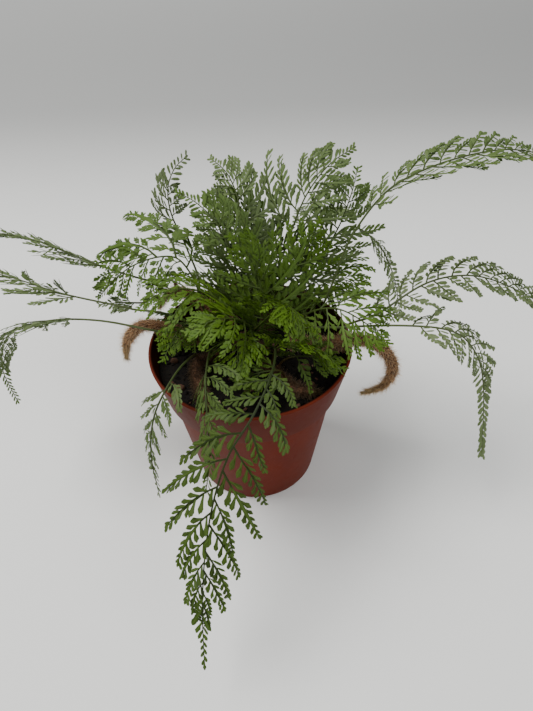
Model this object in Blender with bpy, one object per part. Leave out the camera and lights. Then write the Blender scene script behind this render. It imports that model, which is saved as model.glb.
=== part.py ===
"""A rabbit's foot fern in a round nursery pot.

The frame's origin is the middle of the pot's underside, +Z is up and -Y is the front.
Sizes below are millimetres, and MM turns them into metres where a mesh is made.
"""

import math

import bmesh
import bpy
from mathutils import Vector

MM = 0.001
GAP = 0.3

# Pot: a four inch round nursery pot with a deep collar under its rim
RIM_RADIUS = 52.0
POT_HEIGHT = 91.0
COLLAR_HEIGHT = 23.4
COLLAR_FOOT_RADIUS = 47.1
BODY_TOP_RADIUS = 44.4
BASE_RADIUS = 35.2
WALL = 1.6
POT_SIDES = 36
DRAIN_HOLES = 4
DRAIN_RADIUS = 4.0
DRAIN_CIRCLE = 24.0

# Soil
SOIL_TOP = 80.7
SOIL_ROUGHNESS = 0.3
SOIL_SIDES = 24

# Rhizomes: furry stems as thick as a pencil's core, with a short peg under each frond
RHIZOME_RADIUS = 3.0
RHIZOME_SIDES = 7
RHIZOME_RING_STEP = 3.6
PEG_LENGTH = 2.2
PEG_HALF_WIDTH = 1.2

# Fronds
STALK_HALF_WIDTH = 0.7
RIB_TIP_HALF_WIDTH = 0.45
BLADE_HALF_THICKNESS = 0.32
STALK_STEP = 12.0
TIP_SHARE = 0.2
FIRST_ANGLE = 72.0
ANGLE_TURN = 28.0
SHORTENING = 0.85
DROOP = 0.22
FOLD_RADIUS = 3.0

# Leaflets: teeth along the first part of each, then one lobe at its tip
TOOTH_STEP = 10.0
MOST_TEETH = 4
TOOTH_LEAN = 1.15
TOOTHED_SHARE = 0.68
SMALL_LEAFLET = 11.0
TIP_LOBE_WIDTH = 0.28
TIP_LOBE_WIDEST = 0.55
LEAFLET_CURVE = 0.05

# Where each rhizome creeps, from its crown end to its growing tip
RHIZOMES = {
    "rhizome_right": [
        (20, 6, 84.4), (33, 3, 85.5), (44, -3, 90), (52, -6, 95.4), (62, -8, 94),
        (70, -9, 86), (73, -10, 76), (69, -11, 66), (59, -10, 60),
    ],
    "rhizome_left": [
        (-20, 12, 84.4), (-32, 11, 85.5), (-42, 10, 92), (-50, 10, 95.4), (-58, 10, 94.5),
        (-65, 9.5, 87), (-67.5, 9, 79), (-68, 8, 74),
    ],
    "rhizome_back_left": [
        (-8, 22, 84.4), (-20, 30, 88), (-31, 36, 93), (-38, 36, 97), (-45, 34, 97), (-50, 29, 92),
    ],
    "rhizome_front_left": [
        (-16, -2, 84.3), (-27, -9, 84.3), (-25, -24, 84.3), (-22, -34, 84.3), (-17, -41, 84.3),
    ],
    "rhizome_front_right": [
        (4, -8, 84.3), (14, -20, 84.3), (21, -28, 84.3), (33, -31, 84.3),
    ],
    "rhizome_back_right": [
        (6, 12, 84.4), (10, 24, 84.4), (18, 34, 84.4), (30, 34, 84.6),
    ],
    "rhizome_middle": [
        (-10, 8, 84.3), (0, 4, 84.4), (10, 1, 84.3),
    ],
}

# Each frond: its rhizome, how far along that it grows, the points its midrib passes,
# the share of its length that is bare stalk, its blade's half width, the way the blade's
# upper face looks where the blade starts, its pairs of leaflets, how quickly they shorten
# towards the tip, and the angle by which both halves of the blade are folded up
FRONDS = {
    "frond_right_tall": dict(
        on="rhizome_right", seat=0.14, stalk=0.40, half_width=44, face=(0, 0.1, 1), pairs=7, fold=16,
        route=[(41, 7, 120), (50, 10, 147), (68, 14, 168), (111, 25, 176), (152, 39, 165)],
    ),
    "frond_right_long": dict(
        on="rhizome_right", seat=0.31, stalk=0.34, half_width=30, face=(0, -0.1, 1), pairs=6, taper=0.6,
        route=[(63, 1, 105), (89, 8, 119), (114, 11, 119), (144, 8, 106), (160, 5, 94)],
    ),
    "frond_right_drooping": dict(
        on="rhizome_right", seat=0.05, stalk=0.46, half_width=23, face=(0, 0, 1), pairs=6,
        route=[(46, -3, 101), (86, -13, 108), (103, -15, 102), (115, -20, 82), (119, -40, 40)],
    ),
    "frond_right_behind": dict(
        on="rhizome_back_right", seat=0.92, stalk=0.46, half_width=14, face=(0.9, 0.2, 0.4), pairs=5,
        route=[(41, 42, 116), (53, 44, 130), (68, 41, 122), (79, 38, 103), (87, 36, 74)],
    ),
    "frond_right_inner": dict(
        on="rhizome_right", seat=0.02, stalk=0.46, half_width=19, face=(0, -0.4, 0.9), pairs=4,
        route=[(28, 5, 103), (42, -3, 113), (55, -12, 111), (67, -18, 102)],
    ),
    "frond_top": dict(
        on="rhizome_back_right", seat=0.30, stalk=0.42, half_width=26, face=(0, -0.6, 0.8), pairs=6,
        route=[(13, 24, 110), (21, 27, 134), (29, 31, 154), (40, 36, 167), (53, 42, 173)],
    ),
    "frond_top_middle": dict(
        on="rhizome_back_left", seat=0.12, stalk=0.57, half_width=15, face=(0, -0.7, 0.7), pairs=4,
        route=[(-8, 28, 112), (-4, 30, 132), (-3, 36, 149), (-8, 45, 160), (-17, 56, 164)],
    ),
    "frond_top_right": dict(
        on="rhizome_back_right", seat=0.75, stalk=0.55, half_width=15, face=(0.2, -0.8, 0.5), pairs=4,
        route=[(33, 30, 112), (45, 30, 136), (51, 34, 152), (55, 43, 163)],
    ),
    "frond_top_left": dict(
        on="rhizome_back_left", seat=0.03, stalk=0.38, half_width=21, face=(0, -0.6, 0.8), pairs=4,
        route=[(-5, 19, 114), (-8, 20, 133), (-14, 24, 146), (-23, 29, 154), (-33, 33, 158)],
    ),
    "frond_back_left": dict(
        on="rhizome_back_left", seat=0.50, stalk=0.50, half_width=17, face=(-0.4, -0.8, 0.4), pairs=4,
        route=[(-34, 52, 115), (-40, 55, 134), (-40, 56, 148), (-35, 55, 159), (-27, 52, 167)],
    ),
    "frond_left_fan": dict(
        on="rhizome_left", seat=0.02, stalk=0.47, half_width=31, face=(0, -0.5, 0.9), pairs=6,
        route=[(-24, 16, 101), (-28, 21, 117), (-37, 25, 127), (-59, 25, 122), (-81, 24, 103)],
    ),
    "frond_left_high": dict(
        on="rhizome_back_left", seat=0.72, stalk=0.36, half_width=22, face=(0, 0.5, 0.9), pairs=6,
        route=[(-55, 38, 104), (-82, 38, 116), (-110, 39, 131), (-146, 48, 133)],
    ),
    "frond_left_middle": dict(
        on="rhizome_left", seat=0.34, stalk=0.45, half_width=22, face=(0, 0.5, 0.9), pairs=5,
        route=[(-62, 15, 103), (-94, 15, 114), (-120, 22, 120), (-146, 33, 119)],
    ),
    "frond_left_small": dict(
        on="rhizome_back_left", seat=0.93, stalk=0.40, half_width=8, face=(0, -0.2, 1), pairs=3,
        route=[(-56, 25, 99), (-68, 23, 101), (-81, 23, 100)],
    ),
    "frond_left_low": dict(
        on="rhizome_left", seat=0.14, stalk=0.42, half_width=22, face=(0, 0.64, 0.77), pairs=6,
        route=[(-42, 2, 97), (-74, 1, 107), (-100, 2, 107), (-122, 3, 98), (-131, -1, 80), (-124, -13, 63)],
    ),
    "frond_left_inner": dict(
        on="rhizome_left", seat=0.085, stalk=0.30, half_width=15, face=(0, -0.3, 0.95), pairs=4,
        route=[(-31, 0, 103), (-35, -12, 107), (-40, -26, 103)],
    ),
    "frond_front_left": dict(
        on="rhizome_front_left", seat=0.25, stalk=0.34, half_width=18, face=(-0.6, 0, 0.8), pairs=6,
        route=[(-31, -22, 98), (-37, -38, 99), (-43, -49, 91), (-46, -57, 74), (-45, -64, 50)],
    ),
    "frond_front_long": dict(
        on="rhizome_front_right", seat=0.08, stalk=0.30, half_width=27, face=(0, -0.3, 0.9), pairs=7,
        taper=0.95, route=[(12, -22, 106), (10, -45, 112), (2, -63, 107), (-9, -76, 96), (-17, -92, 77),
                          (-21, -113, 54), (-21, -134, 33)],
    ),
    "frond_front_thin": dict(
        on="rhizome_front_left", seat=0.10, stalk=0.34, half_width=9, face=(-0.7, -0.3, 0.6), pairs=5,
        route=[(-19, -24, 103), (-19, -42, 104), (-18, -57, 96), (-18, -66, 82), (-21, -73, 66)],
    ),
    "frond_middle_right": dict(
        on="rhizome_back_right", seat=0.05, stalk=0.38, half_width=19, face=(0, -0.7, 0.7), pairs=4,
        route=[(15, 14, 110), (23, 16, 124), (31, 19, 138), (36, 21, 148)],
    ),
    "frond_middle_left": dict(
        on="rhizome_middle", seat=0.06, stalk=0.36, half_width=22, face=(0.8, 0.1, 0.6), pairs=4,
        route=[(-12, 7, 104), (-19, 7, 116), (-31, 6, 121), (-44, 4, 119), (-55, 2, 112)],
    ),
    "frond_middle_front": dict(
        on="rhizome_middle", seat=0.47, stalk=0.44, half_width=20, face=(0.2, 0.9, 0.3), pairs=4,
        route=[(8, -4, 108), (17, -11, 122), (20, -24, 128), (17, -38, 124)],
    ),
    "frond_middle_low": dict(
        on="rhizome_middle", seat=0.26, stalk=0.38, half_width=10, face=(-0.2, 0.6, 0.7), pairs=3,
        route=[(-4, -6, 101), (-5, -17, 105), (-5, -29, 105), (-5, -41, 100)],
    ),
    "frond_middle_tall": dict(
        on="rhizome_middle", seat=0.92, stalk=0.34, half_width=21, face=(0, -0.7, 0.7), pairs=4,
        route=[(8, 4, 110), (5, 7, 127), (0, 10, 139), (-8, 12, 146)],
    ),
    "frond_middle_back": dict(
        on="rhizome_back_right", seat=0.17, stalk=0.42, half_width=22, face=(0, -0.6, 0.8), pairs=4,
        route=[(3, 30, 112), (-2, 37, 131), (-11, 43, 143), (-23, 48, 147)],
    ),
    "frond_middle_low_right": dict(
        on="rhizome_back_right", seat=0.60, stalk=0.50, half_width=13, face=(0, -0.5, 0.85), pairs=4,
        route=[(34, 30, 104), (43, 26, 110), (52, 20, 112), (60, 14, 108)],
    ),
    "frond_middle_wide": dict(
        on="rhizome_middle", seat=0.70, stalk=0.40, half_width=19, face=(0.5, 0, 0.8), pairs=4,
        route=[(0, -6, 106), (-6, -12, 116), (-16, -18, 120), (-29, -21, 116)],
    ),
    "frond_middle_near": dict(
        on="rhizome_front_right", seat=0.24, stalk=0.44, half_width=12, face=(0.6, 0.3, 0.8), pairs=4,
        route=[(14, -16, 101), (24, -23, 109), (34, -32, 111), (42, -42, 106)],
    ),
    "frond_front_right": dict(
        on="rhizome_front_right", seat=0.34, stalk=0.34, half_width=13, face=(0, -0.3, 0.95), pairs=4,
        route=[(20, -18, 96), (32, -20, 97), (46, -25, 93)],
    ),
    "frond_front_low": dict(
        on="rhizome_front_right", seat=0.55, stalk=0.30, half_width=12, face=(0, -0.3, 0.95), pairs=3,
        route=[(14, -27, 96), (4, -31, 99), (-8, -32, 95)],
    ),
    "frond_back_right": dict(
        on="rhizome_back_right", seat=0.45, stalk=0.46, half_width=26, face=(0, 0.2, 1), pairs=5,
        route=[(22, 46, 112), (34, 60, 126), (50, 76, 124), (64, 88, 108)],
    ),
    "frond_back": dict(
        on="rhizome_back_left", seat=0.22, stalk=0.36, half_width=28, face=(0, 0.2, 1), pairs=5,
        route=[(-15, 44, 104), (-10, 64, 110), (-4, 84, 102), (-1, 98, 86)],
    ),
}


def clear_scene():
    for old in list(bpy.data.objects):
        bpy.data.objects.remove(old, do_unlink=True)


def material(name, colour, roughness):
    made = bpy.data.materials.new(name)
    made.use_nodes = True
    shader = made.node_tree.nodes["Principled BSDF"]
    shader.inputs["Base Color"].default_value = (*colour, 1.0)
    shader.inputs["Roughness"].default_value = roughness
    made.diffuse_color = (*colour, 1.0)
    return made


def place(bm, name, finish, smooth_angle=None):
    """Turns a mesh in millimetres into a named object in metres."""
    bmesh.ops.recalc_face_normals(bm, faces=bm.faces)
    if bm.calc_volume(signed=True) < 0:
        bmesh.ops.reverse_faces(bm, faces=bm.faces)
    bmesh.ops.scale(bm, vec=(MM, MM, MM), verts=bm.verts)
    mesh = bpy.data.meshes.new(name)
    bm.to_mesh(mesh)
    bm.free()
    if smooth_angle is not None:
        mesh.shade_smooth()
        mesh.set_sharp_from_angle(angle=math.radians(smooth_angle))
    made = bpy.data.objects.new(name, mesh)
    made.data.materials.append(finish)
    bpy.context.scene.collection.objects.link(made)
    return made


# Smooth lines through hand-placed points

def smooth_line(points, start_direction, step):
    """Points evenly spaced along a smooth curve through the given ones."""
    spans = [(b - a).length for a, b in zip(points, points[1:])]
    slopes = [start_direction.normalized()]
    for i in range(1, len(points) - 1):
        slopes.append((points[i + 1] - points[i - 1]) / (spans[i - 1] + spans[i]))
    slopes.append((points[-1] - points[-2]) / spans[-1])
    dense = []
    for i, span in enumerate(spans):
        for k in range(24):
            t = k / 24
            dense.append(
                points[i] * (2 * t**3 - 3 * t**2 + 1)
                + slopes[i] * span * (t**3 - 2 * t**2 + t)
                + points[i + 1] * (3 * t**2 - 2 * t**3)
                + slopes[i + 1] * span * (t**3 - t**2)
            )
    dense.append(points[-1])
    reach = [0.0]
    for a, b in zip(dense, dense[1:]):
        reach.append(reach[-1] + (b - a).length)
    count = max(2, round(reach[-1] / step))
    line = []
    j = 0
    for k in range(count + 1):
        target = reach[-1] * k / count
        while j < len(dense) - 2 and reach[j + 1] < target:
            j += 1
        share = (target - reach[j]) / max(reach[j + 1] - reach[j], 1e-9)
        line.append(dense[j].lerp(dense[j + 1], min(share, 1.0)))
    return line, reach[-1]


def point_along(points, share):
    spans = [(b - a).length for a, b in zip(points, points[1:])]
    left = share * sum(spans)
    for a, b, span in zip(points, points[1:], spans):
        if left <= span:
            return a.lerp(b, left / span)
        left -= span
    return points[-1]


# Pot and soil

def pot_profile():
    """Radius and height of the pot's section, up the outside and down the inside."""
    step_z = POT_HEIGHT - COLLAR_HEIGHT
    return [
        (0.0, 0.0),
        (BASE_RADIUS - 1.2, 0.0),
        (BASE_RADIUS, 1.4),
        (BODY_TOP_RADIUS, step_z - 0.8),
        (COLLAR_FOOT_RADIUS, step_z),
        (RIM_RADIUS - 0.2, POT_HEIGHT - 1.2),
        (RIM_RADIUS, POT_HEIGHT - 0.5),
        (RIM_RADIUS - 0.5, POT_HEIGHT),
        (RIM_RADIUS - WALL, POT_HEIGHT),
        (COLLAR_FOOT_RADIUS - WALL, step_z + 1.2),
        (BODY_TOP_RADIUS - WALL, step_z - 1.6),
        (BASE_RADIUS - WALL, WALL + 1.0),
        (BASE_RADIUS - WALL - 1.0, WALL),
        (0.0, WALL),
    ]


def turned(profile, sides):
    """A closed solid turned from a section that starts and ends on the axis."""
    bm = bmesh.new()
    verts = [bm.verts.new((radius, 0, height)) for radius, height in profile]
    edges = [bm.edges.new(pair) for pair in zip(verts, verts[1:])]
    bmesh.ops.spin(
        bm, geom=verts + edges, cent=(0, 0, 0), axis=(0, 0, 1),
        angle=math.tau, steps=sides, use_merge=True,
    )
    bmesh.ops.remove_doubles(bm, verts=bm.verts, dist=0.001)
    return bm


def make_pot(plastic):
    pot = place(turned(pot_profile(), POT_SIDES), "pot", plastic, smooth_angle=25)
    holes = bmesh.new()
    for k in range(DRAIN_HOLES):
        angle = math.tau * (k + 0.5) / DRAIN_HOLES
        centre = Vector((DRAIN_CIRCLE * math.cos(angle), DRAIN_CIRCLE * math.sin(angle), 0))
        made = bmesh.ops.create_cone(
            holes, cap_ends=True, segments=12,
            radius1=DRAIN_RADIUS, radius2=DRAIN_RADIUS, depth=3 * WALL,
        )
        bmesh.ops.translate(holes, vec=centre, verts=made["verts"])
    cutter = place(holes, "drain_cutter", plastic)
    cutter.hide_render = True
    cutter.display_type = "WIRE"
    cut = pot.modifiers.new("drain holes", "BOOLEAN")
    cut.operation = "DIFFERENCE"
    cut.object = cutter


def soil_height(x, y):
    """Low lumps all over the top of the soil."""
    waves = math.sin(0.31 * x + 0.9) * math.cos(0.27 * y - 0.4)
    waves += math.sin(0.17 * x - 0.23 * y + 2.0)
    return SOIL_TOP + SOIL_ROUGHNESS * waves / 2


def make_soil(finish):
    step_z = POT_HEIGHT - COLLAR_HEIGHT
    inset = WALL + GAP
    collar_slope = (RIM_RADIUS - COLLAR_FOOT_RADIUS) / COLLAR_HEIGHT
    edge = COLLAR_FOOT_RADIUS - inset + collar_slope * (SOIL_TOP - step_z) - 0.3
    rings = [edge * share for share in (0.82, 0.62, 0.42, 0.2)]
    profile = [
        (0.0, WALL + GAP),
        (BASE_RADIUS - inset - 1.2, WALL + GAP),
        (BASE_RADIUS - inset, WALL + GAP + 1.6),
        (BODY_TOP_RADIUS - inset - 0.2, step_z - 1.2),
        (COLLAR_FOOT_RADIUS - inset - 0.2, step_z + 1.8),
        (edge, SOIL_TOP),
        *((radius, SOIL_TOP) for radius in rings),
        (0.0, SOIL_TOP),
    ]
    bm = turned(profile, SOIL_SIDES)
    for vert in bm.verts:
        if vert.co.z > SOIL_TOP - 0.01:
            vert.co.z = soil_height(vert.co.x, vert.co.y)
    place(bm, "soil", finish, smooth_angle=40)


# Rhizomes

def seat_direction(frond):
    """A frond leaves its rhizome nearly upright, leaning a little the way it will go."""
    points = [Vector(p) for p in RHIZOMES[frond["on"]]]
    away = Vector(frond["route"][0]) - point_along(points, frond["seat"])
    away.z = 0
    lean = away.normalized() * min(0.5, away.length / 20)
    direction = Vector((0, 0, 1)) + lean
    ahead = point_along(points, frond["seat"] + 0.04) - point_along(points, frond["seat"])
    creep = ahead.normalized()
    return (direction - creep * direction.dot(creep) * 0.6).normalized()


def seat_centre(frond):
    points = [Vector(p) for p in RHIZOMES[frond["on"]]]
    line, _ = smooth_line(points, points[1] - points[0], 1.0)
    return point_along(line, frond["seat"])


def raise_peg(bm, centre, direction):
    """Draws one facet of the rhizome out into the short peg that a frond stands on."""
    def closeness(face):
        away = face.calc_center_median() - centre
        return away.normalized().dot(direction) - 0.05 * away.length

    facet = max((f for f in bm.faces if len(f.verts) == 4), key=closeness)
    middle = facet.calc_center_median()
    made = bmesh.ops.extrude_discrete_faces(bm, faces=[facet])["faces"][0]
    top = centre + direction * (RHIZOME_RADIUS + PEG_LENGTH)
    for vert in made.verts:
        out = vert.co - middle
        out -= direction * out.dot(direction)
        vert.co = top + out.normalized() * PEG_HALF_WIDTH * math.sqrt(2)


def make_rhizome(name, finish):
    points = [Vector(p) for p in RHIZOMES[name]]
    line, _ = smooth_line(points, points[1] - points[0], RHIZOME_RING_STEP)
    bm = bmesh.new()
    rings = []
    side = Vector((0, 0, 1))
    for i, centre in enumerate(line):
        along = (line[min(i + 1, len(line) - 1)] - line[max(i - 1, 0)]).normalized()
        side = (side - along * side.dot(along)).normalized()
        across = along.cross(side)
        share = i / (len(line) - 1)
        radius = RHIZOME_RADIUS * (0.97 if i % 2 else 1.0)
        radius *= min(1.0, 0.55 + 3 * share, 0.42 + 2.6 * (1 - share))
        ring = []
        for k in range(RHIZOME_SIDES):
            angle = math.tau * (k + 0.5) / RHIZOME_SIDES
            out = side * math.cos(angle) + across * math.sin(angle)
            ring.append(bm.verts.new(centre + out * radius))
        rings.append(ring)
    for lower, upper in zip(rings, rings[1:]):
        for k in range(RHIZOME_SIDES):
            n = (k + 1) % RHIZOME_SIDES
            bm.faces.new((lower[k], lower[n], upper[n], upper[k]))
    bm.faces.new(rings[0][::-1])
    bm.faces.new(rings[-1])
    for frond in FRONDS.values():
        if frond["on"] == name:
            raise_peg(bm, seat_centre(frond), seat_direction(frond))
    place(bm, name, finish, smooth_angle=60)


# Fronds

class Midrib:
    """A frond's centre line, with the blade's upward and sideways directions along it."""

    def __init__(self, frond):
        direction = seat_direction(frond)
        root = seat_centre(frond) + direction * (RHIZOME_RADIUS + PEG_LENGTH + GAP)
        points = [root] + [Vector(p) for p in frond["route"]]
        self.line, self.length = smooth_line(points, direction, 1.0)
        last = len(self.line) - 1
        self.along = [
            (self.line[min(i + 1, last)] - self.line[max(i - 1, 0)]).normalized()
            for i in range(last + 1)
        ]
        self.step = self.length / last
        self.blade_start = frond["stalk"] * self.length
        start = round(self.blade_start / self.step)
        self.up = [None] * (last + 1)
        up = Vector(frond["face"])
        for i in range(start, last + 1):
            up = (up - self.along[i] * up.dot(self.along[i])).normalized()
            self.up[i] = up
        up = self.up[start]
        for i in range(start - 1, -1, -1):
            up = (up - self.along[i] * up.dot(self.along[i])).normalized()
            self.up[i] = up

    def place(self, distance, across, height, droop, fold):
        """Carries a point of the flat frond onto the arched, folded one."""
        last = len(self.line) - 1
        where = max(0.0, min(distance / self.step, last - 1e-6))
        i = int(where)
        t = where - i
        along = self.along[i].lerp(self.along[i + 1], t)
        up = self.up[i].lerp(self.up[i + 1], t)
        side = up.cross(along).normalized()
        centre = self.line[i].lerp(self.line[i + 1], t)
        centre += along * (distance - where * self.step)
        hand = math.copysign(1.0, across)
        away = abs(across)
        crease = math.hypot(away, FOLD_RADIUS)
        sideways = away - (1 - math.cos(fold)) * (crease - FOLD_RADIUS)
        lift = math.sin(fold) * (crease - FOLD_RADIUS) - droop * away**2
        run = 1 - (1 - math.cos(fold)) * away / crease
        rise = math.sin(fold) * away / crease - 2 * droop * away
        face = (up * run - side * hand * rise).normalized()
        return centre + side * hand * sideways + up * lift + face * height


def sheet_corner(bm, spot):
    return bm.verts.new((spot.x, spot.y, BLADE_HALF_THICKNESS))


def leaflet(bm, near, far, out, forward, length, reach):
    """A toothed leaflet drawn out from the edge between two corners of the sheet.

    Corners hold the flat frond's distance along and across, and half their thickness in z.
    The reach is how far its teeth stand out on its near and its far side.
    """
    teeth = 0
    if length > SMALL_LEAFLET:
        teeth = max(1, min(MOST_TEETH, round(length / TOOTH_STEP)))
    middle = (near.co + far.co) / 2
    for k in range(1, teeth + 1):
        share = k / teeth
        centre = middle + out * TOOTHED_SHARE * length * share
        centre += forward * LEAFLET_CURVE * length * share**2
        width = STALK_HALF_WIDTH + (RIB_TIP_HALF_WIDTH - STALK_HALF_WIDTH) * share - 0.15
        below = sheet_corner(bm, centre - forward * width)
        above = sheet_corner(bm, centre + forward * width)
        bm.faces.new((near, below, above, far))
        grown = 1 - 0.55 * (k - 1) / max(1, teeth - 1)
        for inner, outer, stand in ((near, below, -reach[0]), (far, above, reach[1])):
            tooth = sheet_corner(bm, inner.co.lerp(outer.co, TOOTH_LEAN) + forward * stand * grown)
            bm.faces.new((inner, tooth, outer))
        near, far = below, above
    rest = length * (1 - TOOTHED_SHARE) if teeth else length
    foot = (near.co + far.co) / 2
    widest = foot + out * TIP_LOBE_WIDEST * rest
    flank = forward * min(TIP_LOBE_WIDTH * rest, reach[1])
    tip = foot + out * rest + forward * LEAFLET_CURVE * rest
    lobe = [sheet_corner(bm, spot) for spot in (widest - flank, tip, widest + flank)]
    bm.faces.new((near, *lobe, far))


def leaflet_pair(bm, inner, outer, frond, order, spacing):
    """A leaflet on each side of the midrib, between the corners at their inner and outer ends."""
    pairs = frond["pairs"]
    share = (1 - TIP_SHARE) * order / pairs
    length = frond["half_width"] * (1 - share) ** frond.get("taper", SHORTENING)
    angle = math.radians(FIRST_ANGLE - ANGLE_TURN * order / pairs)
    closing = math.sin(math.radians(ANGLE_TURN / pairs))
    room = max(0.8, 0.46 * (spacing * math.sin(angle) - 0.7 * length * closing))
    far_reach = min(room, 0.34 * length)
    near_reach = far_reach if order else min(1.8 * room, 0.3 * length)
    for hand, turn in ((0, -1), (1, 1)):
        out = Vector((math.cos(angle), turn * math.sin(angle), 0))
        forward = Vector((math.sin(angle), -turn * math.cos(angle), 0))
        leaflet(bm, inner[hand], outer[hand], out, forward, length, (near_reach, far_reach))


def flat_frond(midrib, frond):
    """The frond's sheet laid flat: distance along in x, across in y, half thickness in z."""
    bm = bmesh.new()
    blade = midrib.length - midrib.blade_start
    pairs = frond["pairs"]
    stalk_steps = max(2, round(midrib.blade_start / STALK_STEP))
    spots = [(midrib.blade_start * k / stalk_steps, None) for k in range(stalk_steps)]
    for k in range(pairs):
        share = (1 - TIP_SHARE) * k / pairs
        spots.append((midrib.blade_start + blade * share, k))
        spots.append((midrib.blade_start + blade * (share + 0.025), None))
    spots.append((midrib.length - TIP_SHARE * blade, None))
    spacing = blade * (1 - TIP_SHARE) / pairs
    inner = None
    grows = None
    for x, order in spots:
        past = max(0.0, (x - midrib.blade_start) / blade)
        width = STALK_HALF_WIDTH + (RIB_TIP_HALF_WIDTH - STALK_HALF_WIDTH) * past
        thick = STALK_HALF_WIDTH + (BLADE_HALF_THICKNESS - STALK_HALF_WIDTH) * min(1, 2 * past)
        outer = (bm.verts.new((x, -width, thick)), bm.verts.new((x, width, thick)))
        if inner:
            bm.faces.new((inner[0], outer[0], outer[1], inner[1]))
        if grows is not None:
            leaflet_pair(bm, inner, outer, frond, grows, spacing)
        inner = outer
        grows = order
    tip = TIP_SHARE * blade
    leaflet(bm, *inner, Vector((1, 0, 0)), Vector((0, 1, 0)), tip, (0.12 * tip, 0.12 * tip))
    return bm


def make_frond(name, frond, finish):
    midrib = Midrib(frond)
    bm = flat_frond(midrib, frond)
    bmesh.ops.triangulate(bm, faces=bm.faces)
    under = list(bm.verts)
    made = bmesh.ops.extrude_face_region(bm, geom=bm.faces[:], use_keep_orig=True)
    over = [item for item in made["geom"] if isinstance(item, bmesh.types.BMVert)]
    droop = DROOP / frond["half_width"]
    fold = math.radians(frond.get("fold", 0))
    for verts, sign in ((under, -1), (over, 1)):
        for vert in verts:
            vert.co = midrib.place(vert.co.x, vert.co.y, sign * vert.co.z, droop, fold)
    place(bm, name, finish)


clear_scene()
plastic = material("pot plastic", (0.115, 0.028, 0.020), 0.42)
peat = material("soil", (0.012, 0.009, 0.006), 0.95)
fur = material("rhizome fur", (0.22, 0.12, 0.05), 0.9)
leaf = material("leaf", (0.045, 0.13, 0.012), 0.45)
make_pot(plastic)
make_soil(peat)
for rhizome_name in RHIZOMES:
    make_rhizome(rhizome_name, fur)
for frond_name, design in FRONDS.items():
    make_frond(frond_name, design, leaf)
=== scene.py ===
# %% [markdown]
# # A rabbit's foot fern in its nursery pot
# This fern creeps over its pot on furry stems, the rabbit's feet, and each stem carries thin stalks with finely
# cut fronds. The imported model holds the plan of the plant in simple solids: where each stem creeps and where
# each frond arches. Here each of them gets its real surface: cut leaflets, fur, peat and moulded plastic.

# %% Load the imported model
import math

import bmesh
import bpy
import numpy as np
from mathutils import Matrix, Vector, noise


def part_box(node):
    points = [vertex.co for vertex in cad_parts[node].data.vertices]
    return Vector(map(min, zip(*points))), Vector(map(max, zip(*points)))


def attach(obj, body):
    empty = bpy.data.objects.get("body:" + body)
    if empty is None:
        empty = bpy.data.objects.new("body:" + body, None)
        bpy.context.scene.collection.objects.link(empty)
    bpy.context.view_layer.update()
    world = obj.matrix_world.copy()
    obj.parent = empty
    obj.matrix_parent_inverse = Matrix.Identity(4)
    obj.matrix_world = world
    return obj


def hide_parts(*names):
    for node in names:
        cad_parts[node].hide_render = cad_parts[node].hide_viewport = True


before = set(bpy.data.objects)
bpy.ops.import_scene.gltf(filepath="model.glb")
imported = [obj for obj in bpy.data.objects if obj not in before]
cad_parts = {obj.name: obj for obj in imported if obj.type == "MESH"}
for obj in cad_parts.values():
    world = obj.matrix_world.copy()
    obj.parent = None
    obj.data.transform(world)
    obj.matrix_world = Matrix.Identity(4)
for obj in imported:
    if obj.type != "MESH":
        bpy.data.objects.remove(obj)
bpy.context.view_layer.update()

MM = 0.001

# %% [markdown]
# ## The camera
# The photograph looks down on the plant from in front, about 27 cm from the pot's rim. Its focal length, its
# tilt and a slight roll were found from the pot: with these values the rim's oval, the foot of the collar and
# the edge of the base all fall where the photograph has them. The camera is built from three directions, the
# way it looks, its right and its up, so that no angle has to be converted.

# %% Camera
IMAGE_WIDTH, IMAGE_HEIGHT = 533, 711
FOCAL_LENGTH_PIXELS = 534.0
TILT_DOWN = 0.756
ROLL = -0.032
RIM_MIDDLE_PIXEL = (250.2, 341.3)
RIM_DISTANCE = 0.274
SENSOR = 36.0
CLIP_START = 0.005


def photo_camera():
    ahead = Vector((0, math.cos(TILT_DOWN), -math.sin(TILT_DOWN)))
    level = Vector((1, 0, 0))
    lifted = level.cross(ahead)
    right = level * math.cos(ROLL) + lifted * math.sin(ROLL)
    up = lifted * math.cos(ROLL) - level * math.sin(ROLL)
    across = (RIM_MIDDLE_PIXEL[0] - IMAGE_WIDTH / 2) / FOCAL_LENGTH_PIXELS
    down = (RIM_MIDDLE_PIXEL[1] - IMAGE_HEIGHT / 2) / FOCAL_LENGTH_PIXELS
    to_rim = (ahead + right * across - up * down).normalized()
    rim_middle = Vector((0, 0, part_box("pot")[1].z))
    data = bpy.data.cameras.new("photo camera")
    data.sensor_width = SENSOR
    data.lens = FOCAL_LENGTH_PIXELS / IMAGE_HEIGHT * SENSOR
    data.clip_start = CLIP_START
    camera = bpy.data.objects.new("photo camera", data)
    turn = Matrix((right, up, -ahead)).transposed().to_4x4()
    camera.matrix_world = Matrix.Translation(rim_middle - to_rim * RIM_DISTANCE) @ turn
    bpy.context.scene.collection.objects.link(camera)
    bpy.context.scene.camera = camera
    return camera


camera = photo_camera()
print("camera at", [round(x / MM) for x in camera.location], "mm, lens", round(camera.data.lens, 1), "mm")

# %% [markdown]
# ## Shader maths
# A finish is a small network of nodes. Written out link by link it hides its own idea, so a number that changes
# over a surface is wrapped in a class with ordinary operators: `1 - wear * 0.5` adds the Math nodes by itself.
# Every other node comes from one method, which takes the node's type, its settings and its sockets.

# %% Colours and numbers
def tint(red, green, blue):
    """A colour from 0 to 255 as a screen shows it, as the linear light that shaders count in."""
    levels = [level / 255 for level in (red, green, blue)]
    return (*(x / 12.92 if x < 0.04 else ((x + 0.055) / 1.055) ** 2.4 for x in levels), 1.0)


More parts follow.
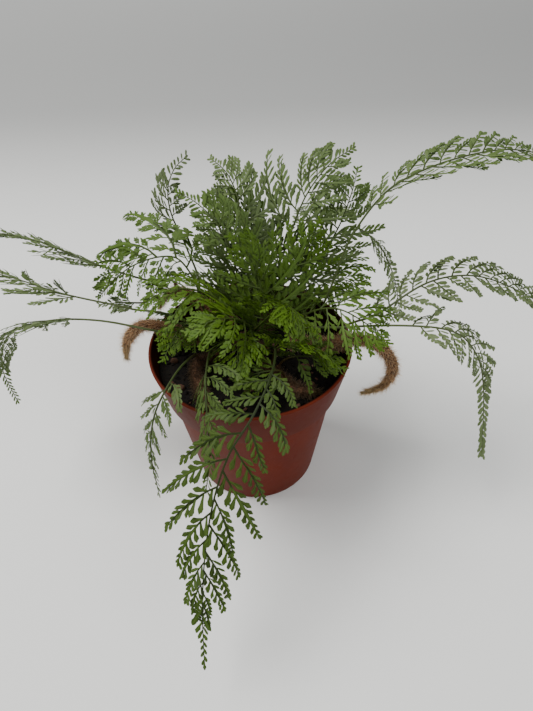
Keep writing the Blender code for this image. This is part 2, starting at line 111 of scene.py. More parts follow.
class Number:
    """A number or colour that changes over a surface."""

    def __init__(self, finish, socket):
        self.finish = finish
        self.socket = socket

    def worked(self, operation, first, second):
        return self.finish.node("ShaderNodeMath", {"operation": operation}, {0: first, 1: second})

    def __add__(self, other):
        return self.worked("ADD", self, other)

    def __sub__(self, other):
        return self.worked("SUBTRACT", self, other)

    def __rsub__(self, other):
        return self.worked("SUBTRACT", other, self)

    def __mul__(self, other):
        return self.worked("MULTIPLY", self, other)

    __radd__ = __add__
    __rmul__ = __mul__

    def between(self, low, high):
        """Rises smoothly from 0 at low to 1 at high."""
        return self.finish.node(
            "ShaderNodeMapRange", {"interpolation_type": "SMOOTHSTEP"},
            {"Value": self, "From Min": low, "From Max": high})


# %% Finishes
class Finish:
    """A material, built one node at a time."""

    def __init__(self, name):
        self.material = bpy.data.materials.new(name)
        self.material.use_nodes = True
        self.tree = self.material.node_tree
        self.tree.nodes.clear()
        self.place = self.node("ShaderNodeTexCoord", out="Object")

    def node(self, kind, settings=None, sockets=None, out=0):
        made = self.tree.nodes.new(kind)
        for name, value in (settings or {}).items():
            setattr(made, name, value)
        for name, value in (sockets or {}).items():
            if isinstance(value, Number):
                self.tree.links.new(value.socket, made.inputs[name])
            else:
                made.inputs[name].default_value = value
        return Number(self, made.outputs[out])

    def painted(self, name):
        """A number that is painted on the mesh's points."""
        return self.node("ShaderNodeAttribute", {"attribute_name": name}, out="Fac")

    def grain(self, size_mm, detail=3, stretch=(1, 1, 1)):
        """Soft random patches of about this size, from 0 to 1."""
        where = self.node("ShaderNodeMapping", sockets={"Vector": self.place, "Scale": stretch})
        return self.node(
            "ShaderNodeTexNoise",
            sockets={"Vector": where, "Scale": 1 / (size_mm * MM), "Detail": detail, "Roughness": 0.6})

    def cells(self, size_mm):
        """The distance from the middle of the nearest of many random cells."""
        return self.node(
            "ShaderNodeTexVoronoi", sockets={"Vector": self.place, "Scale": 1 / (size_mm * MM)}, out="Distance")

    def mix(self, share, first, second):
        """A colour that goes from the first to the second as the share goes from 0 to 1."""
        return self.node("ShaderNodeMix", {"data_type": "RGBA"}, {0: share, 6: first, 7: second}, out=2)

    def skin(self, colour, roughness, height, depth_mm, **fixed):
        """The main shader, with fine relief from a height that goes from 0 to 1."""
        relief = self.node("ShaderNodeBump", sockets={"Height": height, "Distance": depth_mm * MM})
        sockets = {"Base Color": colour, "Roughness": roughness, "Normal": relief}
        sockets.update({name.replace("_", " "): value for name, value in fixed.items()})
        return self.node("ShaderNodeBsdfPrincipled", sockets=sockets)

    def shown(self, shader):
        output = self.tree.nodes.new("ShaderNodeOutputMaterial")
        self.tree.links.new(shader.socket, output.inputs["Surface"])
        return self.material


# %% [markdown]
# ## Floor and light
# The plant stands on a plain pale surface in soft light from above, a little from the left, which leaves a wide
# faint shadow on the right. Large area lights give such shadows: the larger a light looks from the plant, the
# softer its shadow. Behind the plant the light falls off, as the photograph shows, and that is painted shade:
# the surface turns greyer and then paler again, so its colour is mixed by the distance behind the pot.

# %% Floor and light
FLOOR_RADIUS = 6.0
SHADE_BAND_FROM, SHADE_BAND_TO = 0.16, 0.66
SHADE_EASES_FROM, SHADE_EASES_TO = 0.7, 2.4
PLANT_MIDDLE = Vector((0, 0, 0.1))
SKY_STRENGTH = 0.34


def make_floor():
    finish = Finish("pale floor")
    patches = finish.grain(400)
    behind = finish.node("ShaderNodeSeparateXYZ", sockets={0: finish.place}, out="Y")
    near = finish.mix(patches * 0.3, tint(243, 244, 242), tint(238, 239, 237))
    # painted shade: the floor turns grey behind the plant, where the light falls off, and paler again further
    # back
    colour = finish.mix(behind.between(SHADE_BAND_FROM, SHADE_BAND_TO), near, tint(168, 169, 168))
    colour = finish.mix(behind.between(SHADE_EASES_FROM, SHADE_EASES_TO), colour, tint(226, 227, 225))
    bm = bmesh.new()
    bmesh.ops.create_circle(bm, cap_ends=True, radius=FLOOR_RADIUS, segments=128)
    mesh = bpy.data.meshes.new("floor")
    bm.to_mesh(mesh)
    bm.free()
    roughness = 0.75 + patches * 0.1
    mesh.materials.append(finish.shown(finish.skin(colour, roughness, finish.grain(1.5), depth_mm=0.02)))
    floor = bpy.data.objects.new("floor", mesh)
    bpy.context.scene.collection.objects.link(floor)


def soft_light(name, spot, size, watts, warmth=(1, 1, 1)):
    """A square light at a spot, turned to the middle of the plant."""
    data = bpy.data.lights.new(name, "AREA")
    data.size = size
    data.energy = watts
    data.color = warmth
    light = bpy.data.objects.new(name, data)
    light.location = spot
    light.rotation_euler = (PLANT_MIDDLE - Vector(spot)).to_track_quat("-Z", "Y").to_euler()
    bpy.context.scene.collection.objects.link(light)


def make_light():
    world = bpy.data.worlds.new("studio")
    world.use_nodes = True
    sky = world.node_tree.nodes["Background"]
    sky.inputs["Color"].default_value = (0.97, 0.985, 1.0, 1.0)
    sky.inputs["Strength"].default_value = SKY_STRENGTH
    bpy.context.scene.world = world
    soft_light("window above left", (-1.1, 0.2, 2.1), size=1.3, watts=60.0, warmth=(1.0, 0.985, 0.96))
    soft_light("lamp in front", (1.2, -1.2, 1.7), size=1.3, watts=20.0)


make_floor()
make_light()

# %% [markdown]
# ## Many copies of a small shape
# A frond has hundreds of leaf fingers and a furry stem has thousands of hairs. Each kind is modelled once with
# Blender's own operators, and then copied. Instances would be lighter, but they are lost when a model is
# exported, so the copies are real: their points are worked out together, as one array.

# %% Shapes as arrays
MERGE_DISTANCE = 1e-5


class Shape:
    """A mesh in millimetres as arrays: points, triangles, what is painted on its points, and which finish
    each triangle takes."""

    def __init__(self, points, triangles, paint=None, kinds=None):
        self.points = np.asarray(points, float)
        self.triangles = np.asarray(triangles, int)
        self.paint = paint or {}
        self.kinds = np.zeros(len(self.triangles), int) if kinds is None else kinds

    def with_points(self, points):
        return Shape(points, self.triangles, self.paint, self.kinds)

    def moved(self, matrix):
        return self.with_points(self.points @ np.array(matrix)[:3, :3].T + np.array(matrix)[:3, 3])

    def painted(self, **paint):
        """The same shape with more painted on it: one number for all its points, or one for each."""
        spread = {name: np.broadcast_to(value, len(self.points)) for name, value in paint.items()}
        return Shape(self.points, self.triangles, {**self.paint, **spread}, self.kinds)

    def of_kind(self, kind):
        return Shape(self.points, self.triangles, self.paint, np.full(len(self.triangles), kind))


def shape_of(bm):
    """Closes a finished bmesh, points its faces outwards and cuts them into triangles."""
    bmesh.ops.remove_doubles(bm, verts=bm.verts, dist=MERGE_DISTANCE)
    bmesh.ops.recalc_face_normals(bm, faces=bm.faces)
    bmesh.ops.triangulate(bm, faces=bm.faces)
    bm.verts.index_update()
    points = [vert.co[:] for vert in bm.verts]
    triangles = [[vert.index for vert in face.verts] for face in bm.faces]
    bm.free()
    return Shape(points, triangles)


# %% Many shapes in one
def joined(shapes):
    """Several shapes as one, with whatever is painted on any of them."""
    starts = np.cumsum([0] + [len(shape.points) for shape in shapes[:-1]])
    names = {name for shape in shapes for name in shape.paint}
    blank = {name: 0.0 for name in names}
    shapes = [shape.painted(**{**blank, **shape.paint}) for shape in shapes]
    return Shape(
        np.concatenate([shape.points for shape in shapes]),
        np.concatenate([shape.triangles + start for shape, start in zip(shapes, starts)]),
        {name: np.concatenate([shape.paint[name] for shape in shapes]) for name in names},
        np.concatenate([shape.kinds for shape in shapes]))


def stamped(shape, spots, along, facing, sizes, **paint):
    """A copy of the shape at each spot, its X along one direction and its Z facing another."""
    along = along / np.linalg.norm(along, axis=1, keepdims=True)
    facing = facing - along * (facing * along).sum(1, keepdims=True)
    facing = facing / np.linalg.norm(facing, axis=1, keepdims=True)
    axes = np.stack([along, np.cross(facing, along), facing], axis=2) * sizes[:, None, :]
    points = np.einsum("mij,pj->mpi", axes, shape.points) + spots[:, None, :]
    triangles = shape.triangles + len(shape.points) * np.arange(len(spots))[:, None, None]
    spread = {name: np.tile(values, len(spots)) for name, values in shape.paint.items()}
    spread.update({name: np.repeat(values, len(shape.points)) for name, values in paint.items()})
    return Shape(points.reshape(-1, 3), triangles.reshape(-1, 3), spread, np.tile(shape.kinds, len(spots)))


# %% A finished piece
triangle_counts = {}


def piece(shape, name, finishes, node, sharp_angle):
    """Makes the object: in metres, riding on the pot's body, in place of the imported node."""
    mesh = bpy.data.meshes.new(name)
    mesh.vertices.add(len(shape.points))
    mesh.vertices.foreach_set("co", (shape.points * MM).ravel())
    mesh.loops.add(shape.triangles.size)
    mesh.loops.foreach_set("vertex_index", shape.triangles.ravel())
    mesh.polygons.add(len(shape.triangles))
    mesh.polygons.foreach_set("loop_start", np.arange(0, shape.triangles.size, 3))
    mesh.polygons.foreach_set("material_index", shape.kinds)
    mesh.update(calc_edges=True)
    mesh.shade_smooth()
    mesh.set_sharp_from_angle(angle=math.radians(sharp_angle))
    for paint_name, values in shape.paint.items():
        mesh.attributes.new(paint_name, "FLOAT", "POINT").data.foreach_set("value", values)
    for finish in finishes:
        mesh.materials.append(finish)
    made = bpy.data.objects.new(name, mesh)
    bpy.context.scene.collection.objects.link(made)
    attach(made, "root")
    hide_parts(node)
    triangle_counts[name] = len(shape.triangles)


# %% [markdown]
# ## Shapes that follow a curve
# Stems, stalks and fronds are all modelled straight, along X, where widths and angles are easy to state. A
# course then bends them: it holds a smooth curve through a few points, and at every millimetre of it a
# direction along, up and to the side. A straight point becomes a bent one by its distance along the curve.

# %% Courses
STEPS_BETWEEN_POINTS = 24
COURSE_STEP = 1.0


def smooth_line(points, start_direction):
    """Evenly spaced points on a smooth curve through the given ones, and the curve's length."""
    spans = [(b - a).length for a, b in zip(points, points[1:])]
    slopes = [start_direction.normalized()]
    for i in range(1, len(points) - 1):
        slopes.append((points[i + 1] - points[i - 1]) / (spans[i - 1] + spans[i]))
    slopes.append((points[-1] - points[-2]) / spans[-1])
    dense = []
    for i, span in enumerate(spans):
        for k in range(STEPS_BETWEEN_POINTS):
            t = k / STEPS_BETWEEN_POINTS
            dense.append(
                points[i] * (2 * t**3 - 3 * t**2 + 1) + slopes[i] * span * (t**3 - 2 * t**2 + t)
                + points[i + 1] * (3 * t**2 - 2 * t**3) + slopes[i + 1] * span * (t**3 - t**2))
    dense = np.array([*dense, points[-1]])
    reach = np.concatenate([[0], np.cumsum(np.linalg.norm(np.diff(dense, axis=0), axis=1))])
    even = np.linspace(0, reach[-1], max(2, round(reach[-1] / COURSE_STEP)) + 1)
    return np.stack([np.interp(even, reach, dense[:, axis]) for axis in range(3)], axis=1), reach[-1]


def point_along(points, share):
    """The point at a share of the length of a chain of points."""
    points = np.array([tuple(point) for point in points])
    reach = np.concatenate([[0], np.cumsum(np.linalg.norm(np.diff(points, axis=0), axis=1))])
    return Vector([np.interp(share * reach[-1], reach, points[:, axis]) for axis in range(3)])


# %% Bending a shape
class Course:
    """A smooth curve with directions along, up and to the side at every millimetre."""

    def __init__(self, points, start_direction, up, level_at=0.0):
        self.line, self.length = smooth_line(points, start_direction)
        self.last = len(self.line) - 1
        self.step = self.length / self.last
        steps = np.arange(self.last + 1)
        self.along = self.line[np.minimum(steps + 1, self.last)] - self.line[np.maximum(steps - 1, 0)]
        self.along /= np.linalg.norm(self.along, axis=1, keepdims=True)
        start = round(level_at * self.length / self.step)
        self.up = np.zeros_like(self.line)
        self.up[start] = self.squared(np.array(up, float), start)
        for i in range(start + 1, self.last + 1):
            self.up[i] = self.squared(self.up[i - 1], i)
        for i in range(start - 1, -1, -1):
            self.up[i] = self.squared(self.up[i + 1], i)

    def squared(self, up, i):
        """The upward direction, set square to the curve."""
        up = up - self.along[i] * (up @ self.along[i])
        return up / np.linalg.norm(up)

    def bent(self, shape):
        """Carries a straight shape onto the curve."""
        distance, across, height = shape.points.T[:, :, None]
        where = np.clip(distance[:, 0] / self.step, 0, self.last - 1e-6)
        i = where.astype(int)
        t = (where - i)[:, None]
        along = self.along[i] * (1 - t) + self.along[i + 1] * t
        up = self.up[i] * (1 - t) + self.up[i + 1] * t
        side = np.cross(up, along)
        side /= np.linalg.norm(side, axis=1, keepdims=True)
        centre = self.line[i] * (1 - t) + self.line[i + 1] * t
        centre += along * (distance - where[:, None] * self.step)
        return shape.with_points(centre + side * across + up * height)


def rod(rings, sides):
    """A straight rod along X, of length and radius 1, with rings that let it bend."""
    bm = bmesh.new()
    bmesh.ops.create_cone(bm, cap_ends=True, segments=sides, radius1=1, radius2=1, depth=1)
    lengthwise = [edge for edge in bm.edges if abs(edge.verts[0].co.z - edge.verts[1].co.z) > 0.5]
    bmesh.ops.subdivide_edges(bm, edges=lengthwise, cuts=rings - 1, use_grid_fill=True)
    bmesh.ops.rotate(bm, verts=bm.verts, matrix=Matrix.Rotation(math.pi / 2, 3, "Y"))
    bmesh.ops.translate(bm, verts=bm.verts, vec=(0.5, 0, 0))
    return shape_of(bm)


# %% [markdown]
# ## The plan of the plant
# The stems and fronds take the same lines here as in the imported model, so that a finer frond covers exactly the
# simple one that it replaces. Each stem is a chain of points from its crown to its growing tip. Each frond says
# which stem it grows on and how far along, how much of it is bare stalk, how wide its blade is, and which way
# its upper face looks. All of it is in millimetres from the middle of the pot's underside.

# %% Stems
RHIZOMES = {
    "rhizome_right": [
        (20, 6, 84.4), (33, 3, 85.5), (44, -3, 90), (52, -6, 95.4), (62, -8, 94),
        (70, -9, 86), (73, -10, 76), (69, -11, 66), (59, -10, 60),
    ],
    "rhizome_left": [
        (-20, 12, 84.4), (-32, 11, 85.5), (-42, 10, 92), (-50, 10, 95.4), (-58, 10, 94.5),
        (-65, 9.5, 87), (-67.5, 9, 79), (-68, 8, 74),
    ],
    "rhizome_back_left": [
        (-8, 22, 84.4), (-20, 30, 88), (-31, 36, 93), (-38, 36, 97), (-45, 34, 97), (-50, 29, 92),
    ],
    "rhizome_front_left": [
        (-16, -2, 84.3), (-27, -9, 84.3), (-25, -24, 84.3), (-22, -34, 84.3), (-17, -41, 84.3),
    ],
    "rhizome_front_right": [
        (4, -8, 84.3), (14, -20, 84.3), (21, -28, 84.3), (33, -31, 84.3),
    ],
    "rhizome_back_right": [
        (6, 12, 84.4), (10, 24, 84.4), (18, 34, 84.4), (30, 34, 84.6),
    ],
    "rhizome_middle": [
        (-10, 8, 84.3), (0, 4, 84.4), (10, 1, 84.3),
    ],
}

# %% Fronds
FRONDS = {
    "frond_right_tall": dict(
        on="rhizome_right", seat=0.14, stalk=0.40, half_width=44, face=(0, 0.1, 1), fold=16,
        route=[(41, 7, 120), (50, 10, 147), (68, 14, 168), (111, 25, 176), (152, 39, 165)],
    ),
    "frond_right_long": dict(
        on="rhizome_right", seat=0.31, stalk=0.34, half_width=30, face=(0, -0.1, 1),
        route=[(63, 1, 105), (89, 8, 119), (114, 11, 119), (144, 8, 106), (160, 5, 94)],
    ),
    "frond_right_drooping": dict(
        on="rhizome_right", seat=0.05, stalk=0.46, half_width=23, face=(0, 0, 1),
        route=[(46, -3, 101), (86, -13, 108), (103, -15, 102), (115, -20, 82), (119, -40, 40)],
    ),
    "frond_right_behind": dict(
        on="rhizome_back_right", seat=0.92, stalk=0.46, half_width=14, face=(0.9, 0.2, 0.4),
        route=[(41, 42, 116), (53, 44, 130), (68, 41, 122), (79, 38, 103), (87, 36, 74)],
    ),
    "frond_right_inner": dict(
        on="rhizome_right", seat=0.02, stalk=0.46, half_width=19, face=(0, -0.4, 0.9),
        route=[(28, 5, 103), (42, -3, 113), (55, -12, 111), (67, -18, 102)],
    ),
    "frond_top": dict(
        on="rhizome_back_right", seat=0.30, stalk=0.42, half_width=26, face=(0, -0.6, 0.8),
        route=[(13, 24, 110), (21, 27, 134), (29, 31, 154), (40, 36, 167), (53, 42, 173)],
    ),
    "frond_top_middle": dict(
        on="rhizome_back_left", seat=0.12, stalk=0.57, half_width=15, face=(0, -0.7, 0.7),
        route=[(-8, 28, 112), (-4, 30, 132), (-3, 36, 149), (-8, 45, 160), (-17, 56, 164)],
    ),
    "frond_top_right": dict(
        on="rhizome_back_right", seat=0.75, stalk=0.55, half_width=15, face=(0.2, -0.8, 0.5),
        route=[(33, 30, 112), (45, 30, 136), (51, 34, 152), (55, 43, 163)],
    ),
    "frond_top_left": dict(
        on="rhizome_back_left", seat=0.03, stalk=0.38, half_width=21, face=(0, -0.6, 0.8),
        route=[(-5, 19, 114), (-8, 20, 133), (-14, 24, 146), (-23, 29, 154), (-33, 33, 158)],
    ),
    "frond_back_left": dict(
        on="rhizome_back_left", seat=0.50, stalk=0.50, half_width=17, face=(-0.4, -0.8, 0.4),
        route=[(-34, 52, 115), (-40, 55, 134), (-40, 56, 148), (-35, 55, 159), (-27, 52, 167)],
    ),
    "frond_left_fan": dict(
        on="rhizome_left", seat=0.02, stalk=0.47, half_width=31, face=(0, -0.5, 0.9),
        route=[(-24, 16, 101), (-28, 21, 117), (-37, 25, 127), (-59, 25, 122), (-81, 24, 103)],
    ),
    "frond_left_high": dict(
        on="rhizome_back_left", seat=0.72, stalk=0.36, half_width=22, face=(0, 0.5, 0.9),
        route=[(-55, 38, 104), (-82, 38, 116), (-110, 39, 131), (-146, 48, 133)],
    ),
    "frond_left_middle": dict(
        on="rhizome_left", seat=0.34, stalk=0.45, half_width=22, face=(0, 0.5, 0.9),
        route=[(-62, 15, 103), (-94, 15, 114), (-120, 22, 120), (-146, 33, 119)],
    ),
    "frond_left_small": dict(
        on="rhizome_back_left", seat=0.93, stalk=0.40, half_width=8, face=(0, -0.2, 1),
        route=[(-56, 25, 99), (-68, 23, 101), (-81, 23, 100)],
    ),
    "frond_left_low": dict(
        on="rhizome_left", seat=0.14, stalk=0.42, half_width=22, face=(0, 0.64, 0.77),
        route=[(-42, 2, 97), (-74, 1, 107), (-100, 2, 107), (-122, 3, 98), (-131, -1, 80), (-124, -13, 63)],
    ),
    "frond_left_inner": dict(
        on="rhizome_left", seat=0.085, stalk=0.30, half_width=15, face=(0, -0.3, 0.95),
        route=[(-31, 0, 103), (-35, -12, 107), (-40, -26, 103)],
    ),
    "frond_front_left": dict(
        on="rhizome_front_left", seat=0.25, stalk=0.34, half_width=18, face=(-0.6, 0, 0.8),
        route=[(-31, -22, 98), (-37, -38, 99), (-43, -49, 91), (-46, -57, 74), (-45, -64, 50)],
    ),
    "frond_front_long": dict(
        on="rhizome_front_right", seat=0.08, stalk=0.30, half_width=27, face=(0, -0.3, 0.9),
        route=[(12, -22, 106), (10, -45, 112), (2, -63, 107), (-9, -76, 96), (-17, -92, 77),
               (-21, -113, 54), (-21, -134, 33)],
    ),
    "frond_front_thin": dict(
        on="rhizome_front_left", seat=0.10, stalk=0.34, half_width=9, face=(-0.7, -0.3, 0.6),
        route=[(-19, -24, 103), (-19, -42, 104), (-18, -57, 96), (-18, -66, 82), (-21, -73, 66)],
    ),
    "frond_middle_right": dict(
        on="rhizome_back_right", seat=0.05, stalk=0.38, half_width=19, face=(0, -0.7, 0.7),
        route=[(15, 14, 110), (23, 16, 124), (31, 19, 138), (36, 21, 148)],
    ),
    "frond_middle_left": dict(
        on="rhizome_middle", seat=0.06, stalk=0.36, half_width=22, face=(0.8, 0.1, 0.6),
        route=[(-12, 7, 104), (-19, 7, 116), (-31, 6, 121), (-44, 4, 119), (-55, 2, 112)],
    ),
    "frond_middle_front": dict(
        on="rhizome_middle", seat=0.47, stalk=0.44, half_width=20, face=(0.2, 0.9, 0.3),
        route=[(8, -4, 108), (17, -11, 122), (20, -24, 128), (17, -38, 124)],
    ),
    "frond_middle_low": dict(
        on="rhizome_middle", seat=0.26, stalk=0.38, half_width=10, face=(-0.2, 0.6, 0.7),
        route=[(-4, -6, 101), (-5, -17, 105), (-5, -29, 105), (-5, -41, 100)],
    ),
    "frond_middle_tall": dict(
        on="rhizome_middle", seat=0.92, stalk=0.34, half_width=21, face=(0, -0.7, 0.7),
        route=[(8, 4, 110), (5, 7, 127), (0, 10, 139), (-8, 12, 146)],
    ),
    "frond_middle_back": dict(
        on="rhizome_back_right", seat=0.17, stalk=0.42, half_width=22, face=(0, -0.6, 0.8),
        route=[(3, 30, 112), (-2, 37, 131), (-11, 43, 143), (-23, 48, 147)],
    ),
    "frond_middle_low_right": dict(
        on="rhizome_back_right", seat=0.60, stalk=0.50, half_width=13, face=(0, -0.5, 0.85),
        route=[(34, 30, 104), (43, 26, 110), (52, 20, 112), (60, 14, 108)],
    ),
    "frond_middle_wide": dict(
        on="rhizome_middle", seat=0.70, stalk=0.40, half_width=19, face=(0.5, 0, 0.8),
        route=[(0, -6, 106), (-6, -12, 116), (-16, -18, 120), (-29, -21, 116)],
    ),
    "frond_middle_near": dict(
        on="rhizome_front_right", seat=0.24, stalk=0.44, half_width=12, face=(0.6, 0.3, 0.8),
        route=[(14, -16, 101), (24, -23, 109), (34, -32, 111), (42, -42, 106)],
    ),
    "frond_front_right": dict(
        on="rhizome_front_right", seat=0.34, stalk=0.34, half_width=13, face=(0, -0.3, 0.95),
        route=[(20, -18, 96), (32, -20, 97), (46, -25, 93)],
    ),
    "frond_front_low": dict(
        on="rhizome_front_right", seat=0.55, stalk=0.30, half_width=12, face=(0, -0.3, 0.95),
        route=[(14, -27, 96), (4, -31, 99), (-8, -32, 95)],
    ),
    "frond_back_right": dict(
        on="rhizome_back_right", seat=0.45, stalk=0.46, half_width=26, face=(0, 0.2, 1),
        route=[(22, 46, 112), (34, 60, 126), (50, 76, 124), (64, 88, 108)],
    ),
    "frond_back": dict(
        on="rhizome_back_left", seat=0.22, stalk=0.36, half_width=28, face=(0, 0.2, 1),
        route=[(-15, 44, 104), (-10, 64, 110), (-4, 84, 102), (-1, 98, 86)],
    ),
}
print(len(RHIZOMES), "furry stems and", len(FRONDS), "fronds")

# %% [markdown]
# ## The pot
# A nursery pot of this kind is thin plastic, drawn down over a mould: a tapered body, a step out to a deep
# collar, and a small rounded lip. That is a turned shape, so its section is drawn once and spun round the axis,
# and the ring edges are bevelled. The drain holes are cut with a Boolean, which keeps the wall's thickness. The
# inside of the wall gets painted shade, so its points are painted, and the finish reads what is painted there.

# %% The pot's measures
WALL = 1.6
COLLAR_HEIGHT = 23.4
COLLAR_FOOT_RADIUS = 47.1
BODY_TOP_RADIUS = 44.4
BASE_RADIUS = 35.2
RIM_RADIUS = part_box("pot")[1].x / MM
POT_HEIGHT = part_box("pot")[1].z / MM
COLLAR_FOOT = POT_HEIGHT - COLLAR_HEIGHT
TURNING_STEPS = 144
DRAIN_HOLES = 4
DRAIN_RADIUS = 4.0
DRAIN_CIRCLE = 24.0
SEAM_DISTANCE = 1e-4
LEVEL_WITHIN = 1e-4
ROUND_WITHIN = 1e-3
EDGE_ROUNDING = 0.3
INNER_SHADE_FROM = 0.8
INNER_SHADE_BLEND = 0.5
print("pot:", round(2 * RIM_RADIUS), "mm over the rim,", round(POT_HEIGHT), "mm high")


# %% The pot's section
def turned(profile, steps):
    """A bmesh turned from a section that starts and ends on the axis."""
    bm = bmesh.new()
    verts = [bm.verts.new((radius, 0, height)) for radius, height in profile]
    edges = [bm.edges.new(pair) for pair in zip(verts, verts[1:])]
    bmesh.ops.spin(
        bm, geom=verts + edges, cent=(0, 0, 0), axis=(0, 0, 1), angle=math.tau, steps=steps, use_merge=True)
    bmesh.ops.remove_doubles(bm, verts=bm.verts, dist=SEAM_DISTANCE)
    bmesh.ops.recalc_face_normals(bm, faces=bm.faces)
    return bm


def pot_profile():
    """Radius and height of the section, up the outside and down the inside."""
    return [
        (0, 0), (BASE_RADIUS - 1.2, 0), (BASE_RADIUS, 1.4),
        (BODY_TOP_RADIUS, COLLAR_FOOT - 0.8), (COLLAR_FOOT_RADIUS, COLLAR_FOOT),
        (RIM_RADIUS - 0.2, POT_HEIGHT - 1.2), (RIM_RADIUS, POT_HEIGHT - 0.5),
        (RIM_RADIUS - 0.5, POT_HEIGHT), (RIM_RADIUS - WALL, POT_HEIGHT),
        (COLLAR_FOOT_RADIUS - WALL, COLLAR_FOOT + 1.2), (BODY_TOP_RADIUS - WALL, COLLAR_FOOT - 1.6),
        (BASE_RADIUS - WALL, WALL + 1), (BASE_RADIUS - WALL - 1, WALL), (0, WALL),
    ]


# %% The pot's plastic
def pot_plastic():
    """Satin red-brown plastic, a little scuffed and paler where dust lies on it, with a painted highlight along
    its rim and painted shade on its collar and its inside.
    """
    finish = Finish("red brown plastic")
    clouds = finish.grain(22, 4)
    scuffs = finish.grain(1.6, 5, (1, 1, 0.35)).between(0.56, 0.74)
    dust = finish.grain(5, 6).between(0.5, 0.85)
    height = finish.node("ShaderNodeSeparateXYZ", sockets={0: finish.place}, out="Z")
    # painted highlight: a paler band along the rounded top of the rim
    lip = height.between((POT_HEIGHT - 1.3) * MM, (POT_HEIGHT - 0.3) * MM)
    splashes = (1 - height.between(0.0, 0.05)) * dust
    colour = finish.mix(clouds.between(0.3, 0.75), tint(90, 30, 14), tint(101, 36, 18))
    colour = finish.mix(scuffs * 0.16, colour, tint(138, 70, 54))
    colour = finish.mix(splashes * 0.25, colour, tint(124, 74, 58))
    # painted shade: the collar is darker from its foot up
    collar = height.between((COLLAR_FOOT - 0.5) * MM, (COLLAR_FOOT + 0.5) * MM)
    colour = finish.mix(collar * 0.5, colour, tint(68, 22, 12))
    colour = finish.mix(lip * 0.2, colour, tint(122, 56, 40))
    # painted shade: the inside of the wall is much darker, a little mottled by the dust pattern
    colour = finish.mix(finish.painted("inside") * (0.75 + dust * 0.2), colour, tint(30, 15, 9))
    roughness = 0.42 + clouds * 0.12 + dust * 0.12
    relief = finish.grain(0.9, 4) + scuffs
    return finish.shown(finish.skin(colour, roughness, relief, depth_mm=0.03, Specular_IOR_Level=0.05))


# %% The pot
def cut_with(bm, name, cutters):
    """Cuts a bmesh with others, as the Boolean modifier does."""
    made = []
    for label, form in ((name, bm), (name + " cutter", cutters)):
        mesh = bpy.data.meshes.new(label)
        form.to_mesh(mesh)
        form.free()
        made.append(bpy.data.objects.new(label, mesh))
        bpy.context.scene.collection.objects.link(made[-1])
    cut = made[0].modifiers.new("cut", "BOOLEAN")
    cut.operation = "DIFFERENCE"
    cut.object = made[1]
    result = bmesh.new()
    result.from_object(made[0], bpy.context.evaluated_depsgraph_get())
    for helper in made:
        bpy.data.objects.remove(helper)
    return result


def make_pot():
    bm = turned(pot_profile(), TURNING_STEPS)
    rings = [
        edge for edge in bm.edges
        if abs(edge.verts[0].co.z - edge.verts[1].co.z) < LEVEL_WITHIN
        and abs(edge.verts[0].co.xy.length - edge.verts[1].co.xy.length) < ROUND_WITHIN]
    bmesh.ops.bevel(
        bm, geom=rings, offset=EDGE_ROUNDING, offset_type="OFFSET", segments=2, profile=0.5, affect="EDGES",
        clamp_overlap=True, material=-1)
    holes = bmesh.new()
    for k in range(DRAIN_HOLES):
        angle = math.tau * (k + 0.5) / DRAIN_HOLES
        made = bmesh.ops.create_cone(
            holes, cap_ends=True, segments=40, radius1=DRAIN_RADIUS, radius2=DRAIN_RADIUS, depth=3 * WALL)
        centre = (DRAIN_CIRCLE * math.cos(angle), DRAIN_CIRCLE * math.sin(angle), 0)
        bmesh.ops.translate(holes, verts=made["verts"], vec=centre)
    shape = shape_of(cut_with(bm, "pot", holes))
    # painted shade inside the wall: points deeper than the outer surface are painted, for the finish to darken
    radius = np.hypot(shape.points[:, 0], shape.points[:, 1])
    heights, outer = np.array([(z, r) for r, z in pot_profile()[1:7]]).T
    depth = np.interp(shape.points[:, 2], heights, outer) - radius
    inside = np.clip((depth - INNER_SHADE_FROM) / INNER_SHADE_BLEND, 0, 1)
    piece(shape.painted(inside=inside), "pot_moulded", [pot_plastic()], "pot", sharp_angle=38)


make_pot()
print("pot:", triangle_counts["pot_moulded"], "triangles")

# %% [markdown]
# ## The soil
# Moist peat is nearly black, and it is never smooth: it is made of crumbs, shreds of bark and a few pale
# grains. One displaced disc would look like cloth, so the top is a lumpy turned surface with crumbs, chips and
# grains lying in it. Each kind is one small shape, roughed up at random and copied. Random draws are seeded, so
# that the soil is the same in each run.

# %% The soil's finishes
SOIL_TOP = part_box("soil")[1].z / MM
SOIL_GAP = 0.3
CRUMBS = 1500
BARK_CHIPS = 90
PALE_GRAINS = 46
SOIL_RING_STEP = 1.5
SOIL_SIDES = 110
SOIL_SEED = 5


def peat():
    finish = Finish("moist peat")
    lumps = finish.grain(1.4, 5)
    damp = finish.grain(16, 2)
    colour = finish.mix(lumps.between(0.35, 0.75), tint(6, 5, 3), tint(26, 18, 12))
    colour = finish.mix(damp.between(0.4, 0.7) * 0.5, colour, tint(7, 6, 5))
    roughness = 0.78 + lumps * 0.2
    return finish.shown(finish.skin(colour, roughness, lumps, depth_mm=0.5, Specular_IOR_Level=0.2))


def bark():
    finish = Finish("bark")
    fibre = finish.grain(0.7, 4, (1, 1, 4))
    colour = finish.mix(fibre.between(0.3, 0.7), tint(44, 27, 16), tint(96, 62, 38))
    return finish.shown(finish.skin(colour, 0.7 + fibre * 0.2, fibre, depth_mm=0.2))


def pale_grain():
    finish = Finish("pale grain")
    stain = finish.grain(0.9, 4)
    colour = finish.mix(stain.between(0.35, 0.7), tint(150, 132, 104), tint(84, 62, 42))
    return finish.shown(finish.skin(colour, 0.8 + stain * 0.1, finish.grain(0.25), depth_mm=0.08))


print("soil: its top is", round(POT_HEIGHT - SOIL_TOP, 1), "mm below the rim")


